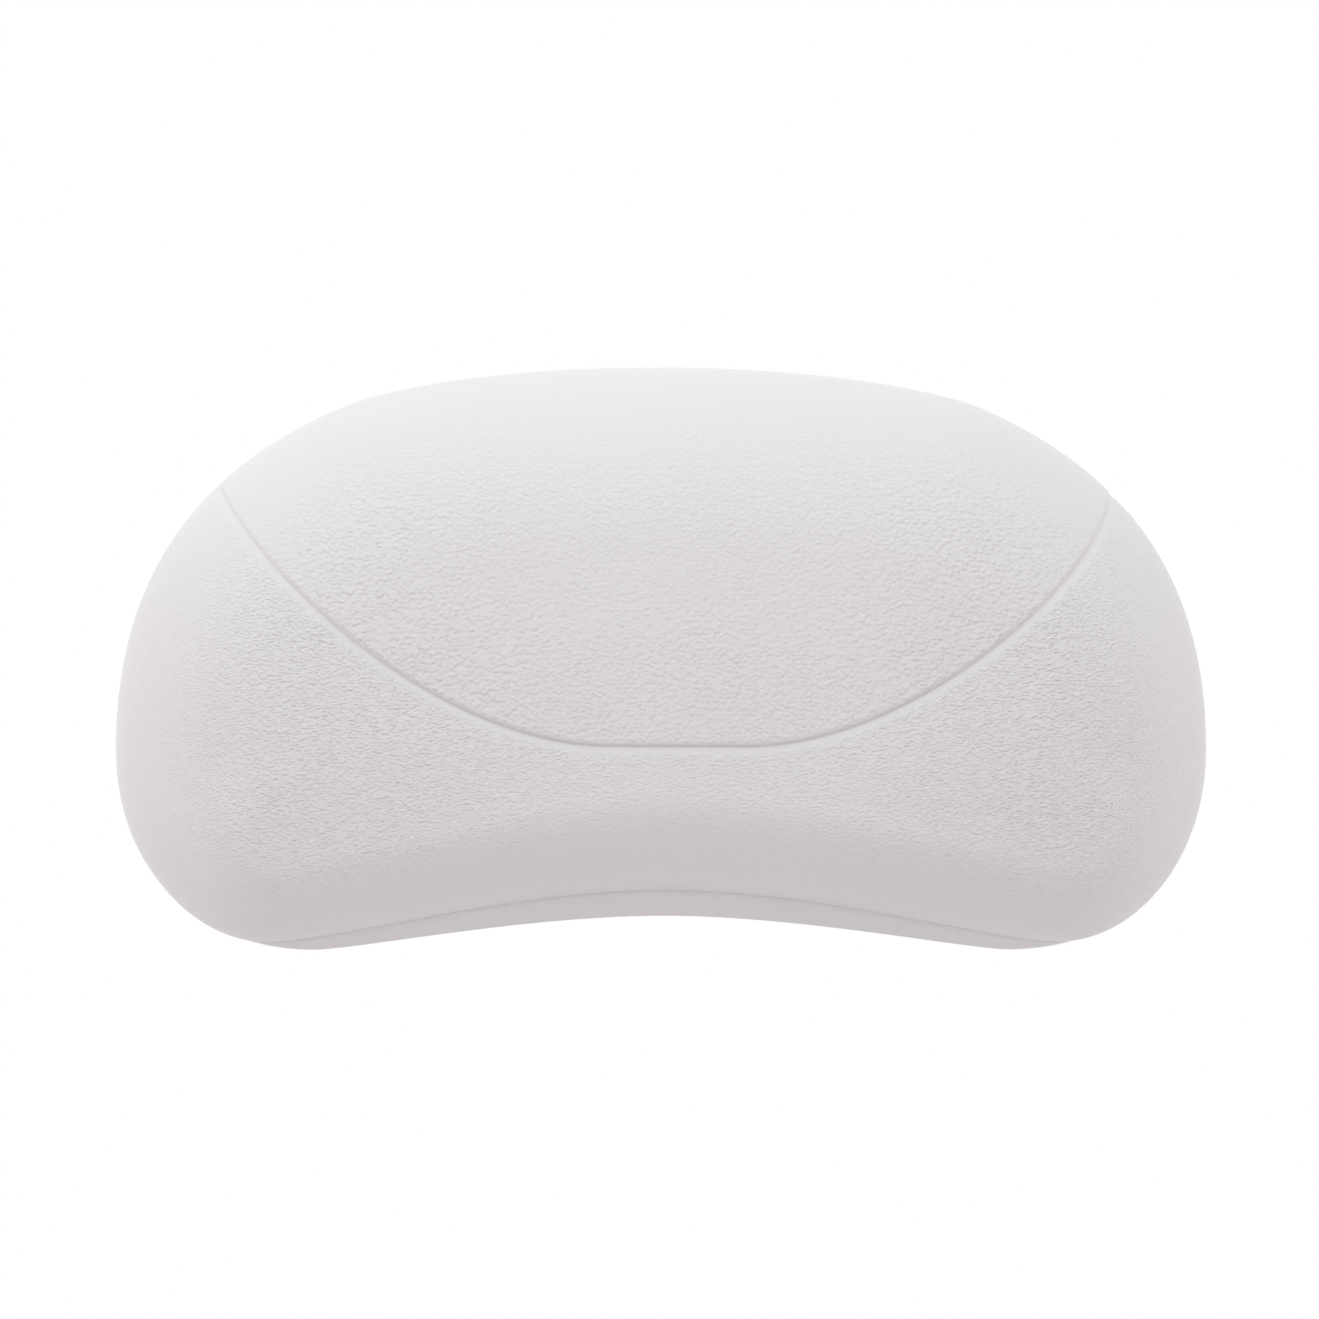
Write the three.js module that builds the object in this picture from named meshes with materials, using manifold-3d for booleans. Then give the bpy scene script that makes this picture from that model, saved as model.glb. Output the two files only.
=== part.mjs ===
// Bath pillow: a self-skinned foam headrest held on a bath wall by two suction cups.
// Millimetres. X runs across the pillow, Z is up, and the front faces -Y.
// The origin lies midway between the suction cups, on the wall that their lips touch.
import * as THREE from 'three';
import { mergeVertices } from 'three/addons/utils/BufferGeometryUtils.js';
import Module from 'manifold-3d';

const wasm = await Module();
wasm.setup();

// Fits shared by all the pieces
const fitGap = 0.3;
const cutOverrun = 2;
const weldDistance = 0.001;

// Outline of the cushion, measured from the line of the cups
const halfWidth = 155.3;
const topHeight = 82.8;
const widestDrop = 25.5;
const lobeDepth = 82.6;
const backArchRise = 9.6;
const frontArchRise = 15.4;
const frontLobeRise = 1.6;

// Where the outline's stations lie, as shares of the sizes that they follow
const shoulderAcrossShare = 0.58;
const shoulderUpShare = 0.867;
const shoulderSlopeShare = 0.42;
const backLobeShare = 0.607;
const frontLobeShare = 0.73;
// How far the curve is pulled along its tangent at each station
const topPullShare = 0.33;
const shoulderInPullShare = 0.06;
const shoulderOutPullShare = 0.275;
const flankUpPullShare = 0.53;
const flankDownPullShare = 0.6;
const backLobeOutPullShare = 0.7;
const frontLobeOutPullShare = 0.48;
const backLobeInPullShare = 0.05;
const frontLobeInPullShare = 0.18;
const archPullShare = 0.4;

// Depth of the cushion, from its flat back to the crown of its front
const cushionDepth = 54;
const rearDepth = 16.3;
const skinThickness = 2.5;
const sideRoll = 52;
const bottomRoll = 22;
const crownDrop = 11;
const crownSideDrop = 6;
const crownCentre = -10;
const ledgeRound = 6;
const backEdgeRound = 5.5;
const seamRoll = 0.5;
const seamRollDepth = 1.6;

// Channel that parts the head panel from the neck panel below it
const channelWidth = 2.6;
const channelDepth = 1.5;
const channelLowDrop = 24.6;
const channelFlatHalf = 19;
const channelEndReach = 126.6;
const channelEndHeight = 47;
const channelLowPull = 45;
const channelEndPull = 37;
const channelEndDegrees = 58;

// Wells in the back, one for each suction cup
const cupSpacing = 160;
const cupStandOff = 7;
const wellDiameter = 70;
const wellDepth = 10;
const wellMouthRound = 1.6;

// Suction cup, moulded over the head of its stud
const lipDiameter = 58;
const lipThickness = 1;
const lipFlatWidth = 3;
const cupHollowDepth = 6.6;
const cupCrownThickness = 2.2;
const bossDiameter = 19;
const bossRound = 1.2;
const tabWidth = 10;
const tabLength = 9;
const tabRibHeight = 0.6;
const tabRibWidth = 1;

// Stud, washer and tee nut of each cup
const studDiameter = 5;
const studHeadDiameter = 12;
const studHeadThickness = 2.4;
const studTipChamfer = 0.7;
const studProud = 1;
const washerDiameter = 16;
const washerThickness = 1;
const nutBarrelDiameter = 8;
const nutFlangeDiameter = 19;
const nutFlangeThickness = 1.5;
const prongCircle = 14;
const prongWidth = 2.4;
const prongThickness = 1.1;
const prongLength = 3.2;
const prongs = 3;

// Board moulded into the foam behind the cups
const boardLength = 216;
const boardHeight = 54;
const boardThickness = 4;
const boardWaistRise = 7;
const keyHoleDiameter = 14;
const keyHolePitch = 25;
const keyHoles = 3;

// Facets
const outlineSteps = [7, 8, 8, 6];
const channelSteps = 10;
const roundSteps = 36;
const smallSteps = 24;
const boardSteps = 9;
const cupSteps = 5;

// Stations along Y, from the wall towards the bather
const backY = -cupStandOff;
const wellFloorY = backY - wellDepth;
const wellFloorFrontY = wellFloorY - skinThickness;
const boardBackY = wellFloorFrontY - fitGap;
const boardFrontY = boardBackY - boardThickness;
const flangeBackY = boardFrontY - fitGap;
const flangeFrontY = flangeBackY - nutFlangeThickness;
const barrelEndY = wellFloorY - fitGap;
const washerFrontY = wellFloorY + fitGap;
const washerBackY = washerFrontY + washerThickness;
const bossEndY = washerBackY + fitGap;
const studTipY = flangeFrontY - studProud;
const seamY = backY - rearDepth;
const crownHeight = cushionDepth - rearDepth;

// Solids

function toSolid(geometry) {
  const bare = geometry.clone();
  bare.deleteAttribute('normal');
  bare.deleteAttribute('uv');
  const welded = mergeVertices(bare, weldDistance);
  const corners = welded.index.array;
  const triVerts = [];
  for (let i = 0; i < corners.length; i += 3) {
    const [a, b, c] = corners.slice(i, i + 3);
    if (a !== b && b !== c && c !== a) triVerts.push(a, b, c);
  }
  return new wasm.Manifold(new wasm.Mesh({
    numProp: 3,
    vertProperties: new Float32Array(welded.attributes.position.array),
    triVerts: new Uint32Array(triVerts),
  }));
}

function toGeometry(solid) {
  const mesh = solid.getMesh();
  const geometry = new THREE.BufferGeometry();
  geometry.setAttribute('position', new THREE.BufferAttribute(mesh.vertProperties, 3));
  geometry.setIndex(new THREE.BufferAttribute(mesh.triVerts, 1));
  geometry.computeVertexNormals();
  return geometry;
}

// A turned solid about the Y axis, from a profile of [radius, y] points
function turned(profile, steps) {
  const points = profile.map(([radius, y]) => new THREE.Vector2(radius, y));
  return toSolid(new THREE.LatheGeometry(points, steps));
}

function cylinder(radius, frontY, rearY, steps) {
  return turned([[0, frontY], [radius, frontY], [radius, rearY], [0, rearY]], steps);
}

// A plate drawn in X and Z that fills the space between two stations along Y
function plate(shape, frontY, rearY, curveSegments) {
  const geometry = new THREE.ExtrudeGeometry(shape, {
    depth: rearY - frontY, bevelEnabled: false, curveSegments,
  });
  geometry.rotateX(Math.PI / 2);
  geometry.translate(0, rearY, 0);
  return toSolid(geometry);
}

// Rings run clockwise seen from the front and are stacked from the back to the front
function loft(rings, backCentre, frontCentre) {
  const count = rings[0].length;
  const points = [...rings.flat(), backCentre, frontCentre];
  const backIndex = points.length - 2;
  const frontIndex = points.length - 1;
  const lastRing = (rings.length - 1) * count;
  const index = [];
  for (let i = 0; i < count; i += 1) {
    const next = (i + 1) % count;
    for (let k = 0; k < rings.length - 1; k += 1) {
      const here = k * count;
      const ahead = here + count;
      index.push(here + i, ahead + i, ahead + next);
      index.push(here + i, ahead + next, here + next);
    }
    index.push(backIndex, i, next);
    index.push(frontIndex, lastRing + next, lastRing + i);
  }
  const geometry = new THREE.BufferGeometry().setFromPoints(points);
  geometry.setIndex(index);
  return toSolid(geometry);
}

// Outline

// Half of an outline as four curves, from the top centre round to the bottom centre
function outlineCurves(lobeShare, lobeLow, archLow, lobeOutPullShare, lobeInPullShare) {
  const top = new THREE.Vector2(0, topHeight);
  const shoulder = new THREE.Vector2(
    halfWidth * shoulderAcrossShare, topHeight * shoulderUpShare);
  const flank = new THREE.Vector2(halfWidth, -widestDrop);
  const lobe = new THREE.Vector2(halfWidth * lobeShare, -lobeLow);
  const arch = new THREE.Vector2(0, -archLow);
  const shoulderWay = new THREE.Vector2(1, -shoulderSlopeShare).normalize();
  const flankRise = topHeight * shoulderUpShare + widestDrop;
  const flankFall = lobeLow - widestDrop;
  const lobeSpan = flank.x - lobe.x;
  return [
    new THREE.CubicBezierCurve(
      top,
      new THREE.Vector2(halfWidth * topPullShare, top.y),
      shoulder.clone().addScaledVector(shoulderWay, -halfWidth * shoulderInPullShare),
      shoulder),
    new THREE.CubicBezierCurve(
      shoulder,
      shoulder.clone().addScaledVector(shoulderWay, halfWidth * shoulderOutPullShare),
      new THREE.Vector2(flank.x, flank.y + flankRise * flankUpPullShare),
      flank),
    new THREE.CubicBezierCurve(
      flank,
      new THREE.Vector2(flank.x, flank.y - flankFall * flankDownPullShare),
      new THREE.Vector2(lobe.x + lobeSpan * lobeOutPullShare, lobe.y),
      lobe),
    new THREE.CubicBezierCurve(
      lobe,
      new THREE.Vector2(lobe.x * (1 - lobeInPullShare), lobe.y),
      new THREE.Vector2(lobe.x * archPullShare, arch.y),
      arch),
  ];
}

// Each outline point carries its inward direction
function outlinePoints(curves) {
  const half = [];
  curves.forEach((curve, part) => {
    for (let step = 0; step < outlineSteps[part]; step += 1) {
      const share = step / outlineSteps[part];
      const place = curve.getPoint(share);
      const way = curve.getTangent(share);
      half.push({ x: place.x, z: place.y, inX: way.y, inZ: -way.x });
    }
  });
  const arch = curves[curves.length - 1].getPoint(1);
  const bottom = { x: 0, z: arch.y, inX: 0, inZ: 1 };
  const otherHalf = half.slice(1).reverse().map((point) => (
    { x: -point.x, z: point.z, inX: -point.inX, inZ: point.inZ }));
  return [...half, bottom, ...otherHalf];
}

const frontOutline = outlinePoints(outlineCurves(
  frontLobeShare, lobeDepth - frontLobeRise, lobeDepth - frontLobeRise - frontArchRise,
  frontLobeOutPullShare, frontLobeInPullShare));
const backOutline = outlinePoints(outlineCurves(
  backLobeShare, lobeDepth, lobeDepth - backArchRise,
  backLobeOutPullShare, backLobeInPullShare));

const inset = (point, distance, y) => new THREE.Vector3(
  point.x + point.inX * distance, y, point.z + point.inZ * distance);

const smooth = (share) => share * share * (3 - 2 * share);

// Front of the cushion

// The edge rolls over tightly along the bottom and broadly at the sides and the top
function rollAt(point) {
  const share = THREE.MathUtils.clamp((point.z + lobeDepth) / (lobeDepth - widestDrop), 0, 1);
  return THREE.MathUtils.lerp(bottomRoll, sideRoll, smooth(share));
}

// The front is domed, and highest a little below the line of the cups
const archFall = (place) => crownDrop * ((place.z - crownCentre) / topHeight) ** 2
  + crownSideDrop * (place.x / halfWidth) ** 2;

// Rings of the front, a distance inside its outer face, from the seam to near the crown
function frontRings(within, turns, shrinks) {
  const centre = new THREE.Vector3(0, 0, crownCentre);
  const rings = turns.map((degrees) => {
    const turn = THREE.MathUtils.degToRad(degrees);
    return frontOutline.map((point) => {
      const roll = rollAt(point) - within;
      const place = inset(point, within + roll * (1 - Math.cos(turn)), 0);
      place.y = seamY - (crownHeight - within - archFall(place)) * Math.sin(turn);
      return place;
    });
  });
  const rim = rings[rings.length - 1];
  for (const share of shrinks) {
    rings.push(rim.map((point) => {
      const place = centre.clone().lerp(point, share);
      place.y = seamY - (crownHeight - within - archFall(place));
      return place;
    }));
  }
  return rings;
}

const crownPoint = (within) => new THREE.Vector3(0, seamY - crownHeight + within, crownCentre);

const outerTurns = [18, 37, 56, 74, 90];
const outerShrinks = [0.72, 0.4];
const innerTurns = [0, 32, 62, 90];

function frontOuterSolid() {
  const seamRing = frontOutline.map((point) => inset(point, seamRoll, seamY));
  const wallRing = frontOutline.map((point) => inset(point, 0, seamY - seamRollDepth));
  return loft(
    [seamRing, wallRing, ...frontRings(0, outerTurns, outerShrinks)],
    new THREE.Vector3(0, seamY, 0), crownPoint(0));
}

// The same form, a distance inside the outer face and carried on behind the seam
function frontInnerSolid(within, turns, shrinks) {
  const behind = seamY + cutOverrun;
  const backRing = frontOutline.map((point) => inset(point, within, behind));
  return loft(
    [backRing, ...frontRings(within, turns, shrinks)],
    new THREE.Vector3(0, behind, 0), crownPoint(within));
}

// Upper edge of the channel, from its left end to its right end
function channelEdge() {
  const low = new THREE.Vector2(channelFlatHalf, -channelLowDrop);
  const end = new THREE.Vector2(channelEndReach, channelEndHeight);
  const turn = THREE.MathUtils.degToRad(channelEndDegrees);
  const endWay = new THREE.Vector2(Math.cos(turn), Math.sin(turn));
  const curve = new THREE.CubicBezierCurve(
    low,
    new THREE.Vector2(low.x + channelLowPull, low.y),
    end.clone().addScaledVector(endWay, -channelEndPull),
    end);
  const right = [];
  for (let step = 0; step <= channelSteps; step += 1) {
    const place = curve.getPoint(step / channelSteps);
    const way = curve.getTangent(step / channelSteps);
    right.push({ x: place.x, z: place.y, downX: way.y, downZ: -way.x });
  }
  const past = halfWidth - channelEndReach;
  const last = right[right.length - 1];
  right.push({
    x: last.x + endWay.x * past, z: last.z + endWay.y * past,
    downX: last.downX, downZ: last.downZ,
  });
  const left = right.map((point) => (
    { x: -point.x, z: point.z, downX: -point.downX, downZ: point.downZ }));
  return [...left.reverse(), ...right];
}

// The channel follows the face at an even depth, so the inset form is taken off its cutter
function channelCutter() {
  const edge = channelEdge();
  const band = new THREE.Shape([
    ...edge.map((point) => new THREE.Vector2(point.x, point.z)),
    ...edge.map((point) => new THREE.Vector2(
      point.x + point.downX * channelWidth, point.z + point.downZ * channelWidth)).reverse(),
  ]);
  const frontY = seamY - crownHeight - cutOverrun;
  const prism = plate(band, frontY, seamY + cutOverrun, 1);
  return prism.subtract(frontInnerSolid(channelDepth, [0, ...outerTurns], outerShrinks));
}

function frontSkin() {
  return frontOuterSolid()
    .subtract(frontInnerSolid(skinThickness, innerTurns, []))
    .subtract(channelCutter());
}

// Back of the cushion

const outerEdgeTurns = [0, 45, 90];
const outerLedgeTurns = [0, 30, 60, 90];
const innerBackTurns = [0, 90];

// Rings of the back, a distance inside its outer face, from its flat back to the seam.
// Along the bottom the back stands out past the front as a rounded ledge.
function backRings(within, frontY, seamInset, edgeTurns, ledgeTurns) {
  const round = backEdgeRound - within;
  const edge = edgeTurns.map((degrees) => {
    const turn = THREE.MathUtils.degToRad(degrees);
    const y = backY - within - round * (1 - Math.sin(turn));
    return backOutline.map((point) => inset(point, within + round * (1 - Math.cos(turn)), y));
  });
  const ledge = ledgeTurns.map((degrees) => {
    const turn = THREE.MathUtils.degToRad(degrees);
    const y = frontY + ledgeRound * (1 - Math.cos(turn));
    return backOutline.map((point, i) => {
      const inner = inset(frontOutline[i], within + seamInset, y);
      const outer = inset(point, within, y);
      return inner.lerp(outer, Math.sin(turn));
    });
  });
  return [...edge.reverse(), ...ledge.reverse()];
}

const cupPlaces = [-cupSpacing / 2, cupSpacing / 2];

const atEachCup = (solid) => {
  const [left, right] = cupPlaces.map((x) => solid.translate([x, 0, 0]));
  return left.add(right);
};

function wellJacket(around, frontY) {
  const radius = wellDiameter / 2 + around;
  return atEachCup(cylinder(radius, frontY, backY - skinThickness / 2, roundSteps));
}

function wellCutter() {
  const radius = wellDiameter / 2;
  const mouth = [0, 45, 90].map((degrees) => {
    const turn = THREE.MathUtils.degToRad(degrees);
    return [
      radius + wellMouthRound * (1 - Math.cos(turn)),
      backY - wellMouthRound * (1 - Math.sin(turn)),
    ];
  });
  const past = backY + cutOverrun;
  return atEachCup(turned([
    [0, wellFloorY], [radius, wellFloorY], ...mouth,
    [radius + wellMouthRound, past], [0, past],
  ], roundSteps));
}

function backSkin() {
  const frontY = seamY + fitGap;
  const outer = loft(
    backRings(0, frontY, seamRoll, outerEdgeTurns, outerLedgeTurns),
    new THREE.Vector3(0, backY, 0), new THREE.Vector3(0, frontY, 0));
  const openRing = frontOutline.map((point) => inset(point, skinThickness, frontY - cutOverrun));
  const innerFrontY = frontY + skinThickness;
  const inner = loft(
    [...backRings(skinThickness, innerFrontY, 0, innerBackTurns, innerBackTurns), openRing],
    new THREE.Vector3(0, backY - skinThickness, 0),
    new THREE.Vector3(0, frontY - cutOverrun, 0));
  const barrelHole = cylinder(
    nutBarrelDiameter / 2 + fitGap, wellFloorFrontY - cutOverrun, backY, smallSteps);
  return outer.subtract(inner)
    .add(wellJacket(skinThickness, wellFloorFrontY))
    .subtract(wellCutter())
    .subtract(atEachCup(barrelHole));
}

// Board

// A waisted board with round ends, drawn a distance outside its real edge
function boardShape(around) {
  const radius = boardHeight / 2;
  const reach = boardLength / 2 - radius;
  const waist = radius - boardWaistRise + around;
  const shape = new THREE.Shape();
  shape.absarc(reach, 0, radius + around, -Math.PI / 2, Math.PI / 2, false);
  shape.bezierCurveTo(reach / 2, radius + around, reach / 2, waist, 0, waist);
  shape.bezierCurveTo(-reach / 2, waist, -reach / 2, radius + around, -reach, radius + around);
  shape.absarc(-reach, 0, radius + around, Math.PI / 2, Math.PI * 3 / 2, false);
  shape.bezierCurveTo(-reach / 2, -radius - around, -reach / 2, -waist, 0, -waist);
  shape.bezierCurveTo(reach / 2, -waist, reach / 2, -radius - around, reach, -radius - around);
  return shape;
}

// Round bars through the board's keying holes: the holes are cut with them, and the
// foam fills them with slimmer ones
function keyBars(radius, frontY, rearY) {
  const bars = [];
  for (let i = 0; i < keyHoles; i += 1) {
    const x = (i - (keyHoles - 1) / 2) * keyHolePitch;
    bars.push(cylinder(radius, frontY, rearY, smallSteps).translate([x, 0, 0]));
  }
  return bars.reduce((all, bar) => all.add(bar));
}

// The prongs of a tee nut, or with a gap around them the slots that they bite into
function prongRing(around, frontY, rearY) {
  const width = prongWidth + 2 * around;
  const thickness = prongThickness + 2 * around;
  const ring = [];
  for (let i = 0; i < prongs; i += 1) {
    const bar = new THREE.BoxGeometry(width, rearY - frontY, thickness);
    bar.translate(0, (frontY + rearY) / 2, prongCircle / 2);
    bar.rotateY(i * 2 * Math.PI / prongs);
    ring.push(toSolid(bar));
  }
  return ring.reduce((all, bar) => all.add(bar));
}

function backingBoard() {
  const frontY = boardFrontY - cutOverrun;
  const rearY = boardBackY + cutOverrun;
  const barrelHole = cylinder(nutBarrelDiameter / 2 + fitGap, frontY, rearY, smallSteps);
  return plate(boardShape(0), boardFrontY, boardBackY, boardSteps)
    .subtract(keyBars(keyHoleDiameter / 2, frontY, rearY))
    .subtract(atEachCup(barrelHole.add(prongRing(fitGap, frontY, rearY))));
}

function teeNut() {
  const bore = studDiameter / 2 + fitGap;
  const barrel = nutBarrelDiameter / 2;
  const flange = nutFlangeDiameter / 2;
  const body = turned([
    [bore, flangeFrontY], [flange, flangeFrontY], [flange, flangeBackY],
    [barrel, flangeBackY], [barrel, barrelEndY], [bore, barrelEndY], [bore, flangeFrontY],
  ], smallSteps);
  const rootY = (flangeFrontY + flangeBackY) / 2;
  return body.add(prongRing(0, rootY, flangeBackY + prongLength));
}

// Foam core, moulded round the board and the tee nuts

function foamCore() {
  const within = skinThickness + fitGap;
  const form = loft(
    [
      ...backRings(within, seamY + within, 0, innerBackTurns, innerBackTurns),
      ...frontRings(within, innerTurns, []),
    ],
    new THREE.Vector3(0, backY - within, 0), crownPoint(within));
  const pocketBackY = boardBackY + fitGap;
  const boardPocket = plate(
    boardShape(fitGap), boardFrontY - fitGap, pocketBackY, boardSteps);
  const keys = keyBars(
    keyHoleDiameter / 2 - fitGap, boardFrontY - cutOverrun, pocketBackY + cutOverrun);
  const flangePocket = cylinder(
    nutFlangeDiameter / 2 + fitGap, flangeFrontY - fitGap, boardBackY, smallSteps);
  const tipPocket = cylinder(
    studDiameter / 2 + fitGap, studTipY - fitGap, boardBackY, smallSteps);
  return form
    .subtract(wellJacket(skinThickness + fitGap, boardBackY))
    .subtract(boardPocket.subtract(keys))
    .subtract(atEachCup(flangePocket.add(tipPocket)));
}

// Suction cup and its fixings

// Stations inside the cup: its hollow ends in a crown, and the stud's head sits under it
const headBackY = -cupHollowDepth - cupCrownThickness - fitGap;
const headFrontY = headBackY - studHeadThickness;

function suctionCup() {
  const lip = lipDiameter / 2;
  const lipInner = lip - lipFlatWidth;
  const boss = bossDiameter / 2;
  const bore = studDiameter / 2 + fitGap;
  const headRoom = studHeadDiameter / 2 + fitGap;
  const hollow = new THREE.CubicBezierCurve(
    new THREE.Vector2(lipInner, 0),
    new THREE.Vector2(lipInner * 0.8, -cupHollowDepth * 0.45),
    new THREE.Vector2(lipInner * 0.5, -cupHollowDepth),
    new THREE.Vector2(0, -cupHollowDepth));
  const outside = new THREE.CubicBezierCurve(
    new THREE.Vector2(boss, -cupHollowDepth - cupCrownThickness),
    new THREE.Vector2(boss + lipFlatWidth, -cupHollowDepth - cupCrownThickness / 2),
    new THREE.Vector2(lip * 0.75, -cupHollowDepth * 0.55),
    new THREE.Vector2(lip, -lipThickness));
  const toPairs = (points) => points.map((point) => [point.x, point.y]);
  const body = turned([
    [0, headBackY + fitGap], [headRoom, headBackY + fitGap],
    [headRoom, headFrontY - fitGap], [bore, headFrontY - fitGap],
    [bore, bossEndY], [boss - bossRound, bossEndY], [boss, bossEndY + bossRound],
    ...toPairs(outside.getPoints(cupSteps)), [lip, 0],
    ...toPairs(hollow.getPoints(cupSteps)),
  ], roundSteps);
  return body.add(pullTab());
}

// Tongue on the lip, with ribs across it for a wet finger
function pullTab() {
  const lip = lipDiameter / 2;
  const half = tabWidth / 2;
  const root = lip - lipFlatWidth / 2;
  const tip = lip + tabLength - half;
  const tongue = new THREE.Shape();
  tongue.moveTo(-half, -root);
  tongue.lineTo(-half, -tip);
  tongue.absarc(0, -tip, half, Math.PI, 2 * Math.PI, false);
  tongue.lineTo(half, -root);
  let tab = plate(tongue, -lipThickness, 0, smallSteps / 2);
  for (const step of [1, 2, 3]) {
    const rib = new THREE.BoxGeometry(tabWidth - tabRibWidth * 2, lipThickness, tabRibWidth);
    rib.translate(0, -lipThickness / 2 - tabRibHeight, -lip - step * tabRibWidth * 2);
    tab = tab.add(toSolid(rib));
  }
  return tab;
}

function stud() {
  const shank = studDiameter / 2;
  const head = studHeadDiameter / 2;
  return turned([
    [0, studTipY], [shank - studTipChamfer, studTipY], [shank, studTipY + studTipChamfer],
    [shank, headFrontY], [head, headFrontY], [head, headBackY], [0, headBackY],
  ], smallSteps);
}

function washer() {
  const hole = studDiameter / 2 + fitGap;
  const rim = washerDiameter / 2;
  return turned([
    [hole, washerFrontY], [rim, washerFrontY], [rim, washerBackY],
    [hole, washerBackY], [hole, washerFrontY],
  ], roundSteps);
}

// Materials

const finish = (color, roughness, metalness) => new THREE.MeshStandardMaterial({
  color, roughness, metalness,
});
const whiteSkin = finish(0xe6e3e4, 0.5, 0);
const creamFoam = finish(0xefe9d8, 0.95, 0);
const greyBoard = finish(0x8b8d90, 0.6, 0);
const clearVinyl = finish(0xdfe6e8, 0.2, 0);
const zincSteel = finish(0xb9bcc0, 0.35, 0.9);
const nylon = finish(0xf1efe8, 0.5, 0);

// Assembly

const pillow = new THREE.Group();

function place(name, solid, material, x = 0) {
  const mesh = new THREE.Mesh(toGeometry(solid), material);
  mesh.name = name;
  mesh.position.x = x;
  pillow.add(mesh);
}

place('front_skin', frontSkin(), whiteSkin);
place('back_skin', backSkin(), whiteSkin);
place('foam_core', foamCore(), creamFoam);
place('backing_board', backingBoard(), greyBoard);
['left', 'right'].forEach((side, i) => {
  place(`${side}_tee_nut`, teeNut(), zincSteel, cupPlaces[i]);
  place(`${side}_washer`, washer(), nylon, cupPlaces[i]);
  place(`${side}_stud`, stud(), zincSteel, cupPlaces[i]);
  place(`${side}_suction_cup`, suctionCup(), clearVinyl, cupPlaces[i]);
});

export default pillow;
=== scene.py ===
"""Looks of a moulded foam bath pillow: its grained skin, soft cups and screw fixings.

Sizes here are in millimetres; meshes are made in metres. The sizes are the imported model's,
apart from some of the channel, the seam, the ledge and the lobes, which follow the
finished skin.
X runs across the pillow, Z is up, and the front faces -Y.
"""

import math

import bmesh
import bpy
import numpy as np
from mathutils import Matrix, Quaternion, Vector
from mathutils.geometry import delaunay_2d_cdt


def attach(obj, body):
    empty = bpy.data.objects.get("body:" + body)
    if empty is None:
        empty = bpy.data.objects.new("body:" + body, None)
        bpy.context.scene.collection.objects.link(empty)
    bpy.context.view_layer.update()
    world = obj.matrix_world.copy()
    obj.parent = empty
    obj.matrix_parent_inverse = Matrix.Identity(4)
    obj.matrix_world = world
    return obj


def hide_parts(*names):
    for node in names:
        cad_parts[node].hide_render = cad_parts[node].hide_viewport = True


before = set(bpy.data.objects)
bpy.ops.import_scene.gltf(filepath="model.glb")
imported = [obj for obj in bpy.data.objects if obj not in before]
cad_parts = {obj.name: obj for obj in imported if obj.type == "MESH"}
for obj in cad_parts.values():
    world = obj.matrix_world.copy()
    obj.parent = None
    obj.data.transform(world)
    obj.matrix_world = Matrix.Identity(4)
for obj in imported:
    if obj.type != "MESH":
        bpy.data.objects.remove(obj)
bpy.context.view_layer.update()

MM = 0.001

# Outline of the cushion, measured from the line of the cups
HALF_WIDTH = 155.3
TOP_HEIGHT = 82.8
WIDEST_DROP = 25.5
LOBE_DEPTH = 82.6
BACK_ARCH_RISE = 9.6
FRONT_ARCH_RISE = 14.6
FRONT_LOBE_RISE = 2.4
SHOULDER_ACROSS, SHOULDER_UP, SHOULDER_SLOPE = 0.58, 0.867, 0.42
BACK_LOBE, FRONT_LOBE = 0.64, 0.73
TOP_PULL, SHOULDER_IN_PULL, SHOULDER_OUT_PULL = 0.33, 0.06, 0.275
FLANK_UP_PULL, FLANK_DOWN_PULL = 0.53, 0.6
BACK_LOBE_OUT_PULL, FRONT_LOBE_OUT_PULL = 0.6, 0.48
BACK_LOBE_IN_PULL, FRONT_LOBE_IN_PULL = 0.12, 0.18
ARCH_PULL = 0.4
OUTLINE_STEPS = (100, 132, 92, 118)

# Depth of the cushion
CUSHION_DEPTH = 54
REAR_DEPTH = 16.3
SKIN = 2.5
SIDE_ROLL = 52
BOTTOM_ROLL = 22
CROWN_DROP = 11
CROWN_SIDE_DROP = 6
CROWN_CENTRE = -10
LEDGE_ROUND = 3.5
BACK_EDGE_ROUND = 5.5
# The roll eases into the face instead of stopping at its edge
ROLL_EASE = 2.1
# Length of the wall of the roll past its own width, along the skin
WALL_SPARE = 20
SEAM_GAP = 0.14
SEAM_ROUND = 0.55

# Channel between the head panel and the neck panel
CHANNEL_DEPTH = 0.58
CHANNEL_LIP = 1.4
CHANNEL_LIP_POWER = 2.4
CHANNEL_SHOULDER = 3.4
# The neck panel starts a little lower than the head panel and comes level further down
NECK_STEP = 0.22
NECK_STEP_WIDTH = 22
# Along the level part of the line the mould left a narrow crevice
CREVICE_DEPTH = 0.6
CREVICE_HALF = 0.5
CREVICE_REACH = 88
CREVICE_FADE = 1.5
CHANNEL_LOW_DROP = 24.2
CHANNEL_FLAT_HALF = 19
CHANNEL_END_REACH = 126.6
CHANNEL_END_HEIGHT = 47
CHANNEL_LOW_PULL = 45
CHANNEL_END_PULL = 31
CHANNEL_END_DEGREES = 68
# The two lobes of the neck panel swell towards the bather
LOBE_SWELL = 2.7
MIDDLE_SWELL = 1.4
SWELL_WIDTH = 52
SWELL_EDGE = 26
LOBE_REACH = 85

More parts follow.
